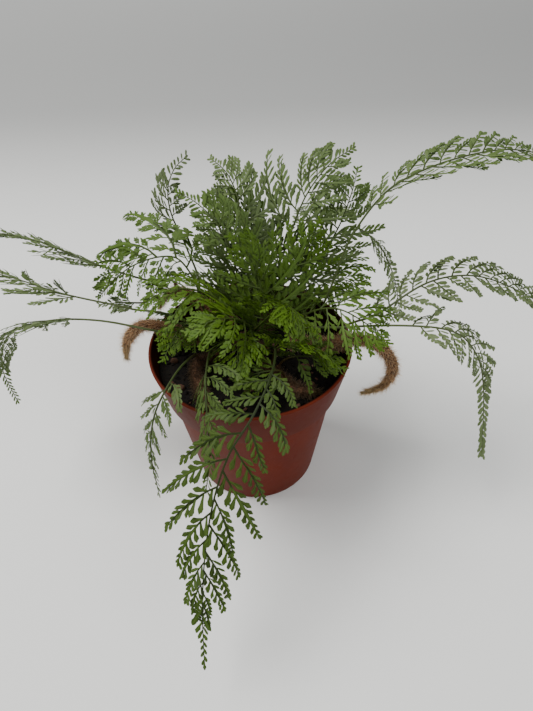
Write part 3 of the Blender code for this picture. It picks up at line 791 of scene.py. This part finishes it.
# %% Peat, crumbs and bark
def soil_body():
    """The whole body of soil, lumpy on top."""
    inset = WALL + SOIL_GAP
    slope = (RIM_RADIUS - COLLAR_FOOT_RADIUS) / COLLAR_HEIGHT
    edge = COLLAR_FOOT_RADIUS - inset + slope * (SOIL_TOP - COLLAR_FOOT) - 0.3
    profile = [
        (0, inset), (BASE_RADIUS - inset - 1.2, inset), (BASE_RADIUS - inset, inset + 1.6),
        (BODY_TOP_RADIUS - inset - 0.2, COLLAR_FOOT - 1.2),
        (COLLAR_FOOT_RADIUS - inset - 0.2, COLLAR_FOOT + 1.8),
        *((radius, SOIL_TOP) for radius in np.arange(edge, 1.0, -SOIL_RING_STEP)), (0, SOIL_TOP)]
    bm = turned(profile, SOIL_SIDES)
    for vert in bm.verts:
        if vert.co.z > SOIL_TOP - 0.01:
            vert.co.z += 0.55 * noise.noise(vert.co * 0.16) + 0.45 * noise.noise(vert.co * 0.6)
    return shape_of(bm), edge


def rough_grain(subdivisions, roughness, seed):
    """A small round grain, pushed out of round."""
    draw = np.random.default_rng(seed)
    bm = bmesh.new()
    bmesh.ops.create_icosphere(bm, subdivisions=subdivisions, radius=1)
    for vert in bm.verts:
        vert.co *= 1 + roughness * draw.uniform(-1, 1)
    return shape_of(bm)


def splinter():
    """A flat chip of bark, longer than wide."""
    bm = bmesh.new()
    bmesh.ops.create_cube(bm, size=1)
    bmesh.ops.bevel(
        bm, geom=bm.edges[:], offset=0.16, segments=1, profile=0.5, affect="EDGES", material=-1)
    for vert in bm.verts:
        vert.co.y *= 1 - 0.5 * abs(vert.co.x)
        vert.co.z += 0.25 * vert.co.x**2
    return shape_of(bm)


def scattered(shape, count, edge, low, high, flatness, draw):
    """Copies that lie all over the soil, turned at random, of sizes between low and high."""
    radius = edge * np.sqrt(draw.uniform(0, 0.97, count))
    angle = draw.uniform(0, math.tau, count)
    size = low + (high - low) * draw.random(count) ** 2.2
    height = SOIL_TOP + draw.uniform(-0.3, 0.45, count) * size
    spots = np.stack([radius * np.cos(angle), radius * np.sin(angle), height], axis=1)
    facing = draw.normal(0, 1, (count, 3)) * (flatness, flatness, 1) + (0, 0, 1 - flatness)
    sizes = size[:, None] * draw.uniform(0.6, 1.2, (count, 3)) * (1, 1, 0.5 + 0.4 * flatness)
    return stamped(shape, spots, draw.normal(0, 1, (count, 3)) * (1, 1, 0.15), facing, sizes)


# %% The soil
def make_soil():
    draw = np.random.default_rng(SOIL_SEED)
    body, edge = soil_body()
    layers = [body]
    for seed in range(3):
        crumb = rough_grain(subdivisions=1, roughness=0.3, seed=seed)
        layers.append(scattered(crumb, CRUMBS // 3, edge - 1.5, low=0.35, high=1.7, flatness=1.0, draw=draw))
    chips = scattered(splinter(), BARK_CHIPS, edge - 3, low=1.2, high=5.0, flatness=0.35, draw=draw)
    chips.points[:, 2] += 0.3
    layers.append(chips.of_kind(1))
    grain = rough_grain(subdivisions=2, roughness=0.12, seed=9)
    grains = scattered(grain, PALE_GRAINS, edge - 3, low=0.5, high=1.5, flatness=1.0, draw=draw)
    layers.append(grains.of_kind(2))
    piece(joined(layers), "soil_crumbs", [peat(), bark(), pale_grain()], "soil", sharp_angle=50)


make_soil()
print("soil:", triangle_counts["soil_crumbs"], "triangles")

# %% [markdown]
# ## The furry stems
# A rabbit's foot is a brown creeping stem under a coat of long fine scales, which look like fur. The stem is a
# bent rod. Fur as particles would be lost on export, so each hair is a real three-sided spike: it costs four
# triangles, and tens of thousands of them fit. The hairs lean towards the growing tip. They are tan, paler at
# their ends and greenish where the stem still grows, and the stems lying between the fronds get painted shade on
# their fur.

# %% Where the fronds stand
RHIZOME_RADIUS = 3.0
PEG_LENGTH = 2.2
GAP = 0.3
MOST_LEAN = 0.5


def stem_points(name):
    return [Vector(point) for point in RHIZOMES[name]]


def seat_centre(frond):
    points = stem_points(frond["on"])
    line, _ = smooth_line(points, points[1] - points[0])
    return point_along(line, frond["seat"])


def seat_direction(frond):
    """A frond leaves its stem nearly upright, leaning a little the way it will go."""
    points = stem_points(frond["on"])
    away = Vector(frond["route"][0]) - point_along(points, frond["seat"])
    away.z = 0
    direction = Vector((0, 0, 1)) + away.normalized() * min(MOST_LEAN, away.length / 20)
    creep = (point_along(points, frond["seat"] + 0.04) - point_along(points, frond["seat"])).normalized()
    return (direction - creep * direction.dot(creep) * 0.6).normalized()


leans = [math.degrees(seat_direction(frond).angle((0, 0, 1))) for frond in FRONDS.values()]
print("stalks lean by up to", round(max(leans)), "degrees where they leave their stem")


# %% The finishes of stem and fur
def stem_skin():
    finish = Finish("stem under the fur")
    scales = finish.cells(0.8)
    patches = finish.grain(3, 4)
    colour = finish.mix(patches.between(0.35, 0.7), tint(78, 50, 30), tint(124, 86, 54))
    colour = finish.mix(scales.between(0.2, 0.7) * 0.5, colour, tint(30, 17, 9))
    colour = finish.mix(finish.painted("young") * 0.6, colour, tint(148, 138, 84))
    return finish.shown(finish.skin(colour, 0.7 + patches * 0.2, scales + patches, depth_mm=0.35))


def fur():
    """Tan hairs with paler ends, some paler than others, and all of them darker with painted shade on the stems
    under the fronds.
    """
    finish = Finish("fur")
    end = finish.painted("end")
    tone = finish.painted("tone")
    colour = finish.mix(end.between(0.0, 0.9), tint(164, 126, 88), tint(248, 222, 182))
    colour = finish.mix(tone.between(0.55, 1.0) * 0.6, colour, tint(240, 220, 186))
    colour = finish.mix(finish.painted("young") * 0.5, colour, tint(196, 184, 132))
    # painted shade: dark fur on the stems that lie under the fronds
    colour = finish.mix(finish.painted("old"), colour, tint(62, 38, 18))
    roughness = 0.62 + tone * 0.2
    shader = finish.skin(colour, roughness, finish.grain(0.3), depth_mm=0.02, Specular_IOR_Level=0.25)
    glow = finish.node("ShaderNodeBsdfTranslucent", sockets={"Color": colour})
    return finish.shown(finish.node("ShaderNodeMixShader", sockets={0: 0.5, 1: shader, 2: glow}))


# %% A coat of hairs
HAIRS_PER_SQUARE_MM = 4.6
LONGEST_HAIR = 4.8
HAIR_HALF_WIDTH = 0.085


def stem_radius(share):
    """The stem swells from its crown end, narrows to its growing tip and is round at that end."""
    swell = np.minimum(0.92, np.minimum(0.55 + 3 * share, 0.16 + 2.9 * (1 - share)))
    return RHIZOME_RADIUS * swell * np.sqrt(np.clip(0.03 + 25 * (1 - share), 0, 1))


def hair():
    """One hair along X: a spike with three sides, painted from 0 at its root to 1 at its end."""
    bm = bmesh.new()
    bmesh.ops.create_cone(bm, cap_ends=True, segments=3, radius1=1, radius2=0, depth=1)
    bmesh.ops.rotate(bm, verts=bm.verts, matrix=Matrix.Rotation(math.pi / 2, 3, "Y"))
    bmesh.ops.translate(bm, verts=bm.verts, vec=(0.5, 0, 0))
    spike = shape_of(bm)
    return spike.painted(end=spike.points[:, 0])


def coat(length, radius_at, density, longest, draw):
    """Hairs all over a straight stem along X, leaning towards its tip."""
    count = int(density * math.tau * RHIZOME_RADIUS * length)
    share = draw.random(count)
    angle = draw.uniform(0, math.tau, count)
    radius = radius_at(share)
    out = np.stack([np.zeros(count), np.cos(angle), np.sin(angle)], axis=1)
    spots = out * (radius * 0.9)[:, None] + (1, 0, 0) * (share * length)[:, None]
    lean = 0.4 + 1.3 * np.clip((share - 0.86) / 0.14, 0, 1) + draw.normal(0, 0.4, count)
    direction = out + (1, 0, 0) * lean[:, None] + draw.normal(0, 0.28, (count, 3))
    reach = longest * (0.22 + 0.78 * draw.random(count) ** 2.4)
    width = HAIR_HALF_WIDTH * draw.uniform(0.7, 1.3, count)
    sizes = np.stack([reach, width, width], axis=1)
    young = np.clip((share - 0.78) / 0.22, 0, 1)
    facing = np.roll(direction, 1, axis=1)
    return stamped(hair(), spots, direction, facing, sizes, tone=draw.random(count), young=young)


# %% The stems
STEM_SEED = 20
STEM_RING_STEP = 1.2
KNOB_RADIUS = 1.9
KNOB_NARROWING = 0.9
KNOB_HAIRS_PER_SQUARE_MM = 1.6
KNOB_LONGEST_HAIR = 1.9
# How strong the painted shade is on the fur of stems under the fronds; the stems listed next are in the light
STEM_SHADE = 0.75
STEMS_IN_LIGHT = ["rhizome_right", "rhizome_left", "rhizome_back_left"]


def make_stem(name, seed):
    draw = np.random.default_rng(seed)
    points = stem_points(name)
    course = Course(points, points[1] - points[0], (0, 0, 1))
    core = rod(round(course.length / STEM_RING_STEP), 14)
    share = np.clip(core.points[:, 0], 0, 1)
    swell = 1 + 0.08 * np.array([noise.noise(Vector(point * (70, 1.5, 1.5))) for point in core.points])
    core.points[:, 1:] *= (stem_radius(share) * swell * 0.97)[:, None]
    core.points[:, 0] *= course.length
    core = core.painted(young=np.clip((share - 0.86) / 0.14, 0, 1))
    hairs = coat(course.length, stem_radius, HAIRS_PER_SQUARE_MM, LONGEST_HAIR, draw)
    parts = [course.bent(core), course.bent(hairs).of_kind(1)]
    for frond in FRONDS.values():
        if frond["on"] == name:
            parts.extend(frond_foot(frond, draw))
    # painted shade on the fur, except on the stems in the light
    coated = joined(parts).painted(old=0.0 if name in STEMS_IN_LIGHT else STEM_SHADE)
    piece(coated, name + "_furry", [stem_skin_finish, fur_finish], name, sharp_angle=60)


def frond_foot(frond, draw):
    """The short furry knob that a stalk stands on."""
    centre = seat_centre(frond)
    direction = seat_direction(frond)
    top = centre + direction * (RHIZOME_RADIUS + PEG_LENGTH + 2 * GAP)
    foot = Course([centre, top], direction, (0.31, 0.52, 0.1))
    knob = rod(6, 10)
    share = np.clip(knob.points[:, 0], 0, 1)
    knob.points[:, 1:] *= (KNOB_RADIUS - share**0.7)[:, None]
    knob.points[:, 0] *= foot.length
    down = coat(
        foot.length, lambda along: KNOB_RADIUS - KNOB_NARROWING * along, KNOB_HAIRS_PER_SQUARE_MM,
        KNOB_LONGEST_HAIR, draw)
    return [foot.bent(knob), foot.bent(down).of_kind(1)]


stem_skin_finish = stem_skin()
fur_finish = fur()
for number, stem_name in enumerate(RHIZOMES):
    make_stem(stem_name, STEM_SEED + number)
print("stems:", {name: count for name, count in triangle_counts.items() if name.startswith("rhizome")})

# %% [markdown]
# ## The leaf's smallest pieces
# The fronds are cut three times over: side branches carry leaflets, and a leaflet is a slender wedge that ends in
# a few rounded lobes. Three small forms make all of it: the wedge, the lobe, and a longer feather, the web that
# joins the leaflets along a side branch. Each is a sphere with four sides, squeezed flat: it is closed, it has a
# sharp edge all round, and the ridge along its middle is the vein.

# %% Wedge, lobe and feather
WEDGE_RINGS = [(0.05, 0.18), (0.36, 0.28), (0.70, 0.46), (0.92, 0.38)]
LOBE_RINGS = [(0.40, 0.38), (0.80, 0.42)]
FEATHER_RINGS = [(0.15, 0.26), (0.45, 0.46), (0.72, 0.36), (0.92, 0.16)]
LEAF_HALF_THICKNESS = 0.10


def flat_form(rings):
    """A flat closed form along X, 1 long and 1 wide, from the place and half width of each ring."""
    bm = bmesh.new()
    bmesh.ops.create_uvsphere(bm, u_segments=4, v_segments=len(rings) + 1, radius=0.5)
    bmesh.ops.rotate(bm, verts=bm.verts, matrix=Matrix.Rotation(math.pi / 2, 3, "Y"))
    rows = sorted({round(vert.co.x, 4) for vert in bm.verts})
    for vert in bm.verts:
        row = rows.index(round(vert.co.x, 4))
        along, half_width = ([(0.0, 0.0)] + rings + [(1.0, 0.0)])[row]
        vert.co.y = math.copysign(half_width, vert.co.y) if abs(vert.co.y) > 0.01 else 0.0
        vert.co.z = math.copysign(1.0, vert.co.z) if abs(vert.co.z) > 0.01 else 0.0
        vert.co.x = along
    made = shape_of(bm)
    return made.painted(vein=(np.abs(made.points[:, 1]) < 0.01).astype(float))


WEDGE = flat_form(WEDGE_RINGS)
LOBE = flat_form(LOBE_RINGS)
FEATHER = flat_form(FEATHER_RINGS)
print("triangles in wedge, lobe and feather:", [len(form.triangles) for form in (WEDGE, LOBE, FEATHER)])

# %% [markdown]
# ## Leaflets and side branches
# In a leaflet the lobes start inside the wedge and point forward, the first ones a little more sideways. A side
# branch is a thin rib with leaflets by turns left and right, which get shorter and closer towards its end, where
# they run together. Both are built once in a few lengths, each in three versions, and a frond picks the nearest:
# that is how hundreds of leaflets can all be a little different and still cost little work.
#
# Fronds are cut differently by age and place, so all of this is done in six styles. Leaflets shorter than
# `single` are one lobe, which is `plump` times as wide as usual. In longer ones the lobes begin at the share
# `first` of the length, `step` millimetres apart, `lobe` wide and turned out by `spread`, and `web` is the width
# of the wedge. On a side branch the leaflets are `long` times as long, `apart` times as far from each other and
# `open` times as far turned out as usual.

# %% Styles of leaflets
STYLES = {
    "cut": dict(
        single=3.2, first=0.22, lobe=1.05, web=0.8, spread=1.15, step=1.0, open=0.95, long=0.95, apart=1.0),
    "toothed": dict(
        single=3.6, first=0.16, lobe=1.4, web=1.1, spread=0.8, step=1.15, open=0.95, long=1.0, apart=1.0),
    "narrow": dict(
        single=3.6, first=0.24, lobe=1.2, web=1.2, spread=0.6, step=1.4, open=0.78, long=1.1, apart=1.1),
    "hooked": dict(
        single=3.6, first=0.34, lobe=1.1, web=1.5, spread=0.6, step=1.5, open=0.95, long=1.0, apart=0.95),
    "comb": dict(
        single=7.0, first=0.16, lobe=1.3, web=1.0, spread=0.5, step=1.6, open=0.88, long=1.1, apart=0.88),
    "beaded": dict(
        single=7.0, first=0.16, lobe=1.3, web=1.0, spread=0.5, step=1.6, open=0.9, long=0.8, apart=0.95,
        plump=1.28),
}
VERSIONS = 3
LEAFLET_LENGTHS = [2.2, 3.1, 4.2, 5.6, 7.5, 10.0]
BRANCH_LENGTHS = [6.5, 8.5, 11.0, 15.0, 20.0, 26.0, 34.0, 44.0]
print(len(STYLES), "styles, leaflets in", len(LEAFLET_LENGTHS), "lengths, branches in", len(BRANCH_LENGTHS))

# %% Leaflets
LOBE_LENGTH = 3.0
MOST_LOBES = 6
LAST_LOBE_AT = 0.64
LOBE_ANGLE = 28


def fanned(form, rows, draw):
    """Copies of a form from rows of: place along X, angle, length and width."""
    start, turn, reach, width = np.array(rows).T
    zero = np.zeros(len(rows))
    roll = draw.normal(0, 0.14, len(rows))
    spots = np.stack([start, zero, draw.uniform(-0.03, 0.03, len(rows))], axis=1)
    along = np.stack([np.cos(turn), np.sin(turn), draw.normal(-0.04, 0.06, len(rows))], axis=1)
    facing = np.stack([zero, np.sin(roll), np.cos(roll)], axis=1)
    sizes = np.stack([reach, width, np.full(len(rows), LEAF_HALF_THICKNESS)], axis=1)
    return stamped(form, spots, along, facing, sizes)


def leaflet(length, style, draw):
    """A leaflet along X: a wedge with a rounded lobe at its end and others at its sides. The smallest
    leaflets are a single lobe."""
    if length < style["single"]:
        width = (0.56 + 0.2 * length) * style.get("plump", 1.0)
        return fanned(LOBE, [(0.0, 0.0, length, width)], draw)
    end = min(LOBE_LENGTH, 0.6 * length)
    rows = [(length - end, draw.normal(0, 0.05), end, style["lobe"])]
    count = min(MOST_LOBES, max(2, round((length - 1.2) / style["step"])))
    hand = draw.choice([-1, 1])
    for k in range(count):
        share = k / count
        start = length * (style["first"] + (LAST_LOBE_AT - style["first"]) * share)
        turn = hand * (-1) ** k * math.radians(LOBE_ANGLE - 8 * share) * style["spread"]
        turn *= draw.uniform(0.85, 1.15)
        reach = min(3.6, 0.46 * length) * (1 - 0.16 * share) * draw.uniform(0.9, 1.06)
        rows.append((start, turn, reach, style["lobe"] * draw.uniform(0.85, 1.0)))
    web = (0.0, 0.0, 0.92 * length, style["web"] * (0.6 + 0.09 * length))
    return joined([fanned(WEDGE, [web], draw), fanned(LOBE, rows, draw)])


def nearest(library, length, draw):
    """The version of the nearest length, scaled to the length that is asked for."""
    size = min(library, key=lambda known: abs(math.log(known / length)))
    chosen = library[size][draw.integers(VERSIONS)]
    return chosen.moved(Matrix.Scale(length / size, 4))


# %% Side branches
RIB_ROD = rod(7, 5)
RIGHT_LEAFLET_ANGLE, LEFT_LEAFLET_ANGLE = 50, 36
RIGHT_LEAFLET_SIZE, LEFT_LEAFLET_SIZE = 1.12, 0.84


def side_branch(length, style, leaflets, draw):
    """A side branch along X with its leaflets, before it is curved. Those on the right are longer and more
    open."""
    parts = []
    where = 0.6 + 0.05 * length
    hand = -1
    while where < 0.93 * length:
        share = where / length
        reach = (1.6 + 0.21 * length * (1 - share) ** 0.8) * style["long"]
        size = reach * (RIGHT_LEAFLET_SIZE if hand < 0 else LEFT_LEAFLET_SIZE) * draw.uniform(0.88, 1.1)
        widest = RIGHT_LEAFLET_ANGLE if hand < 0 else LEFT_LEAFLET_ANGLE
        turn = hand * math.radians(widest - 16 * share) * style["open"] * draw.uniform(0.88, 1.12)
        matrix = (
            Matrix.Translation((where, 0, 0)) @ Matrix.Rotation(turn, 4, "Z")
            @ Matrix.Rotation(draw.normal(0.04, 0.1), 4, "Y") @ Matrix.Rotation(draw.normal(0, 0.22), 4, "X"))
        parts.append(nearest(leaflets, size, draw).moved(matrix).painted(tone=draw.random()))
        where += (0.35 + 0.062 * length) * (1 - 0.45 * share) * style["apart"] * draw.uniform(0.85, 1.15)
        hand = -hand
    end_size = 1.8 + 0.05 * length
    parts.append(nearest(leaflets, end_size, draw).moved(Matrix.Translation((length - end_size, 0, 0))))
    web = (0.12 * length, 0.0, 0.86 * length, 0.7 + 0.025 * length)
    parts.append(fanned(FEATHER, [web], draw))
    rib = RIB_ROD.with_points(RIB_ROD.points.copy())
    thick = 0.22 + 0.006 * length
    rib.points[:, 1:] *= (thick * (1 - 0.6 * rib.points[:, 0]))[:, None]
    rib.points[:, 0] *= length - 0.6 * end_size
    parts.append(rib.painted(rib=1.0))
    return joined(parts)


def curved(shape, length, turn, sag):
    """Bends a straight side branch in its plane, clockwise by an angle, and lets its end hang."""
    x, y, z = shape.points.T
    bend = turn * x / length
    radius = length / turn
    points = np.stack([
        radius * np.sin(bend) + y * np.sin(bend),
        -radius * (1 - np.cos(bend)) + y * np.cos(bend),
        z - sag * x * x / length], axis=1)
    return shape.with_points(points)


# %% The library of leaflets and side branches
LEAF_SEED = 3


def finished_branch(length, style_name, draw):
    branch = side_branch(length, STYLES[style_name], LEAFLETS[style_name], draw)
    return curved(branch, length, turn=draw.uniform(0.3, 0.8), sag=draw.uniform(0, 0.16))


leaf_draw = np.random.default_rng(LEAF_SEED)
LEAFLETS = {
    name: {size: [leaflet(size, style, leaf_draw) for _ in range(VERSIONS)] for size in LEAFLET_LENGTHS}
    for name, style in STYLES.items()}
BRANCHES = {
    name: {size: [finished_branch(size, name, leaf_draw) for _ in range(VERSIONS)] for size in BRANCH_LENGTHS}
    for name in STYLES}
print("side branches:", {size: len(made[0].triangles) for size, made in BRANCHES["cut"].items()}, "triangles")

# %% [markdown]
# ## The leaf's finish
# A fern leaf is thin enough for light to pass through it, which is what makes fronds glow where they are lit
# from behind. So its shader mixes a satin surface with a translucent one. The green itself changes from frond
# to frond, young ones being brighter, a little from leaflet to leaflet, and along the veins. Stalks and ribs are
# darker and turn brown at their foot. All of these are numbers painted on the points, so one finish serves all.

# %% Leaf finish
LIGHT_THROUGH_LEAF = 0.26


def leaf_finish():
    finish = Finish("fern leaf")
    fresh = finish.painted("fresh")
    tone = finish.painted("tone")
    mottle = finish.grain(2.4, 4)
    green = finish.mix(fresh, tint(126, 138, 104), tint(84, 118, 22))
    green = finish.mix(tone * 0.45, green, tint(54, 80, 10))
    green = finish.mix(mottle.between(0.45, 0.75) * 0.3, green, tint(100, 118, 30))
    green = finish.mix(finish.painted("deep") * 0.75, green, tint(46, 62, 18))
    vein = finish.painted("vein").between(0.72, 1.0)
    green = finish.mix(vein * 0.3, green, tint(126, 146, 62))
    stalk = finish.mix(fresh, tint(88, 98, 62), tint(64, 84, 24))
    stalk = finish.mix(finish.painted("deep"), stalk, tint(34, 44, 16))
    stalk = finish.mix(finish.painted("foot"), stalk, tint(78, 48, 26))
    colour = finish.mix(finish.painted("rib"), green, stalk)
    roughness = 0.46 + mottle * 0.16
    relief = finish.grain(0.35, 3) + vein
    blade = finish.skin(colour, roughness, relief, depth_mm=0.05, Specular_IOR_Level=0.3)
    lit_through = finish.mix(0.5, colour, tint(140, 168, 12))
    glow = finish.node("ShaderNodeBsdfTranslucent", sockets={"Color": lit_through})
    mixed = finish.node("ShaderNodeMixShader", sockets={0: LIGHT_THROUGH_LEAF, 1: blade, 2: glow})
    return finish.shown(mixed)


# %% [markdown]
# ## How leafy each frond is
# No two fronds are alike, so each has a row of its own, and what a row leaves out is as usual. The blade starts
# at the share `low` of the frond. Its side branches are `full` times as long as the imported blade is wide, they
# shorten towards its tip with the power `taper`, and none is shorter than `least`. They stand `close` times as
# far apart and turn from the angle `first` by `turn` degrees towards the tip. `small` holds back the first ones,
# `uneven` makes one side longer than the other, and `coarse` enlarges all that is on them. The blade twists
# about its midrib by `twist` degrees. `fresh` is how bright its green is and `deep` how dark.

# %% Leafiness
USUAL = dict(
    style="comb", fresh=0.25, full=1.0, taper=0.95, close=1.0, coarse=1.0, least=3.0, small=1.0, uneven=0.0,
    first=66.0, turn=28.0, twist=0, fold=0, deep=0.0)
LEAFINESS = {
    "frond_middle_tall": dict(style="toothed", fresh=0.9, low=0.08, full=1.2, coarse=1.2),
    "frond_middle_back": dict(fresh=0.95, low=0.1, full=1.1, close=0.9, coarse=1.25, first=84),
    "frond_top_left": dict(
        fresh=0.65, low=0.14, full=1.0, taper=1.05, close=0.85, coarse=1.25, first=84, turn=44),
    "frond_top_middle": dict(
        fresh=0.35, low=0.14, full=1.2, taper=1.0, close=0.85, coarse=1.2, first=80, turn=44),
    "frond_top": dict(fresh=0.4, low=0.16, full=1.2, taper=1.0, close=0.9, coarse=1.15, first=78, turn=40),
    "frond_middle_right": dict(style="cut", fresh=0.9, low=0.1, full=1.3, coarse=1.25),
    "frond_top_right": dict(fresh=0.6, low=0.3, full=1.3, taper=1.0, first=76),
    "frond_middle_wide": dict(style="toothed", fresh=1.0, low=0.08, full=1.35, close=0.85),
    "frond_middle_near": dict(style="narrow", fresh=1.0, low=0.08, full=1.4, close=0.85),
    "frond_middle_left": dict(style="cut", fresh=1.0, low=0.08, full=1.4, close=0.85, coarse=1.2),
    "frond_middle_front": dict(style="narrow", fresh=1.0, low=0.1, full=1.2, close=0.85),
    "frond_middle_low": dict(style="narrow", fresh=1.0, low=0.1, full=1.6, close=0.9),
    "frond_middle_low_right": dict(style="narrow", fresh=0.9, low=0.12, full=1.6, close=0.9),
    "frond_left_inner": dict(style="cut", fresh=0.9, low=0.12, full=1.0),
    "frond_front_right": dict(style="narrow", fresh=0.95, low=0.24, full=1.2, deep=0.45),
    "frond_front_low": dict(style="narrow", fresh=0.95, low=0.2, full=1.2, deep=0.45),
    "frond_front_long": dict(
        style="hooked", fresh=0.95, low=0.26, full=1.2, taper=0.75, close=1.35, coarse=1.35, small=0.4,
        first=72, turn=50, deep=0.8),
    "frond_left_fan": dict(
        style="cut", fresh=0.85, low=0.33, full=1.05, close=0.75, coarse=1.3, uneven=0.3, deep=0.2),
    "frond_back_left": dict(fresh=0.1, low=0.5, full=0.7, close=1.2, coarse=1.3, least=4.0),
    "frond_right_inner": dict(style="narrow", fresh=0.9, low=0.18, full=1.4, close=0.9),
    "frond_right_long": dict(
        style="beaded", fresh=0.15, low=0.16, full=0.54, taper=0.5, close=1.1, coarse=1.4,
        uneven=-0.15, twist=-20),
    "frond_right_drooping": dict(
        style="beaded", fresh=0.15, low=0.38, full=0.75, taper=1.6, close=1.1, coarse=1.3, least=5.5,
        uneven=-0.2, turn=48, twist=-60),
    "frond_right_tall": dict(fresh=0.5, full=0.45, taper=0.8, close=1.2, coarse=1.25, small=0.5, twist=-35),
    "frond_right_behind": dict(style="beaded", full=0.8, taper=1.5, least=4.5, twist=-70),
    "frond_front_left": dict(style="narrow", fresh=0.6, full=0.8, close=1.3, least=4.0, deep=0.4),
    "frond_front_thin": dict(style="narrow", fresh=0.8, full=1.6, close=1.2, least=5.0, deep=0.5),
}
print(len(LEAFINESS), "fronds have a row of their own, and the others are as usual")

# %% [markdown]
# ## The fronds
# A frond is first laid out flat: its midrib along X, with side branches by turns left and right. They are
# longest at the blade's foot and shorten to its tip, and they lean further forward the nearer they are to it.
# Where a side branch would be very short, a single leaflet takes its place. The flat frond is then folded a
# little along its midrib, its edges droop, it is twisted where the real one shows its blade from the side, and
# the course bends it all into the arch that the photograph shows.

# %% A frond laid out flat
STALK_RADIUS = 0.62
TIP_RADIUS = 0.2
FORWARD_SWEEP = 0.74
SIMPLE_BRANCH = 6.5
END_LEAFLET = 4.0
RIB_ENDS_BEFORE_TIP = 3.0
BROWN_FOOT = 16
STALK_RING_STEP = 2.2


def branch_size(frond, share, hand, draw):
    """The length of the side branch at a share of the blade, on the left for a hand of 1."""
    longest = frond["half_width"] / FORWARD_SWEEP * frond["full"]
    size = longest * (1 - max(share, 0)) ** frond["taper"] * min(1, 0.15 + 2.4 * (1 - share), 1 + 0.7 * share)
    size *= min(1, frond["small"] + 2 * max(share, 0)) * (1 - frond["uneven"] * hand)
    return max(size * draw.uniform(0.84, 1.08), frond["least"])


def branch_or_leaflet(frond, size, matrix, draw):
    """A side branch moved to its place, or a single leaflet where it would be very short."""
    coarse = frond["coarse"]
    single = size < SIMPLE_BRANCH * coarse
    library = (LEAFLETS if single else BRANCHES)[frond["style"]]
    branch = nearest(library, size / coarse, draw).moved(Matrix.Scale(coarse, 4)).moved(matrix)
    return branch.painted(tone=draw.random()) if single else branch


def stalk_and_rib(length):
    """One rod from the knob on the stem, where it is brown, to near the frond's tip."""
    foot = RHIZOME_RADIUS * 0.5 + PEG_LENGTH + GAP
    stalk = rod(max(8, round(length / STALK_RING_STEP)), 8)
    share = np.clip(stalk.points[:, 0], 0, 1)
    stalk.points[:, 0] = share * (length - RIB_ENDS_BEFORE_TIP + foot) - foot
    stalk.points[:, 1:] *= (STALK_RADIUS + (TIP_RADIUS - STALK_RADIUS) * share**1.4)[:, None]
    brown = 1 - np.clip((stalk.points[:, 0] + 1) / BROWN_FOOT, 0, 1)
    return stalk.painted(rib=1.0, foot=brown)


def flat_frond(frond, length, draw):
    """The frond laid out flat: the distance along it in x and across it in y."""
    start = frond["stalk"] * length
    blade = length - start
    parts = []
    where = frond["low"] * length - start
    hand = 1
    while where < 0.97 * blade:
        share = where / blade
        size = branch_size(frond, share, hand, draw)
        angle = math.radians(frond["first"] - frond["turn"] * share) * draw.uniform(0.85, 1.12)
        over = 0.0 if hand > 0 else math.pi
        matrix = (
            Matrix.Translation((start + where, 0, 0)) @ Matrix.Rotation(hand * angle, 4, "Z")
            @ Matrix.Rotation(draw.normal(0.0, 0.07), 4, "Y")
            @ Matrix.Rotation(over + draw.normal(0, 0.14), 4, "X"))
        parts.append(branch_or_leaflet(frond, size, matrix, draw))
        where += (0.7 + 0.12 * size) * frond["close"] * draw.uniform(0.8, 1.2)
        hand = -hand
    tip = nearest(LEAFLETS[frond["style"]], END_LEAFLET, draw)
    parts.append(tip.moved(Matrix.Translation((length - END_LEAFLET, 0, 0))))
    parts.append(stalk_and_rib(length))
    return joined(parts)


# %% From flat to arching
DROOP = 0.22
FOLD_RADIUS = 3.0


def folded(shape, droop, fold):
    """Folds the flat frond up along its midrib by an angle and lets its edges droop."""
    x, y, z = shape.points.T
    hand = np.where(y < 0, -1.0, 1.0)
    away = np.abs(y)
    crease = np.hypot(away, FOLD_RADIUS)
    sideways = away - (1 - math.cos(fold)) * (crease - FOLD_RADIUS)
    lift = math.sin(fold) * (crease - FOLD_RADIUS) - droop * away**2
    run = 1 - (1 - math.cos(fold)) * away / crease
    rise = math.sin(fold) * away / crease - 2 * droop * away
    tilt = np.hypot(run, rise)
    return shape.with_points(np.stack([x, hand * (sideways - z * rise / tilt), lift + z * run / tilt], axis=1))


def twisted(shape, start, end, turn):
    """Turns the blade about its midrib, more and more over its first half."""
    x, y, z = shape.points.T
    angle = turn * np.clip(2 * (x - start) / (end - start), 0, 1)
    points = np.stack([x, y * np.cos(angle) + z * np.sin(angle), z * np.cos(angle) - y * np.sin(angle)], axis=1)
    return shape.with_points(points)


def frond_course(frond):
    direction = seat_direction(frond)
    root = seat_centre(frond) + direction * (RHIZOME_RADIUS + PEG_LENGTH + GAP)
    route = [root] + [Vector(point) for point in frond["route"]]
    return Course(route, direction, frond["face"], frond["stalk"])


# %% Fronds
FROND_SEED = 100


def make_frond(name, seed):
    draw = np.random.default_rng(seed)
    frond = {**USUAL, "low": FRONDS[name]["stalk"], **FRONDS[name], **LEAFINESS.get(name, {})}
    course = frond_course(frond)
    flat = flat_frond(frond, course.length, draw)
    fresh = np.clip(frond["fresh"] + 0.25 * (flat.points[:, 0] / course.length - 0.6), 0, 1)
    shape = folded(flat, DROOP / frond["half_width"], math.radians(frond["fold"]))
    start = frond["stalk"] * course.length
    shape = twisted(shape, start, course.length, math.radians(frond["twist"]))
    shape = course.bent(shape).painted(fresh=fresh, deep=frond["deep"])
    piece(shape, name.replace("frond", "leaf"), [leaf], name, sharp_angle=60)


leaf = leaf_finish()
for number, frond_name in enumerate(FRONDS):
    make_frond(frond_name, FROND_SEED + number)
leaf_counts = [count for name, count in triangle_counts.items() if name.startswith("leaf")]
print("fronds:", len(leaf_counts), "with", sum(leaf_counts), "triangles, the largest", max(leaf_counts))

# %% [markdown]
# ## Last measures
# The finer plant has to fill the same box as the imported one. The triangles are counted once more, because the
# whole plant has to stay light enough to be used.

# %% Sizes
print("triangles in all:", sum(triangle_counts.values()))
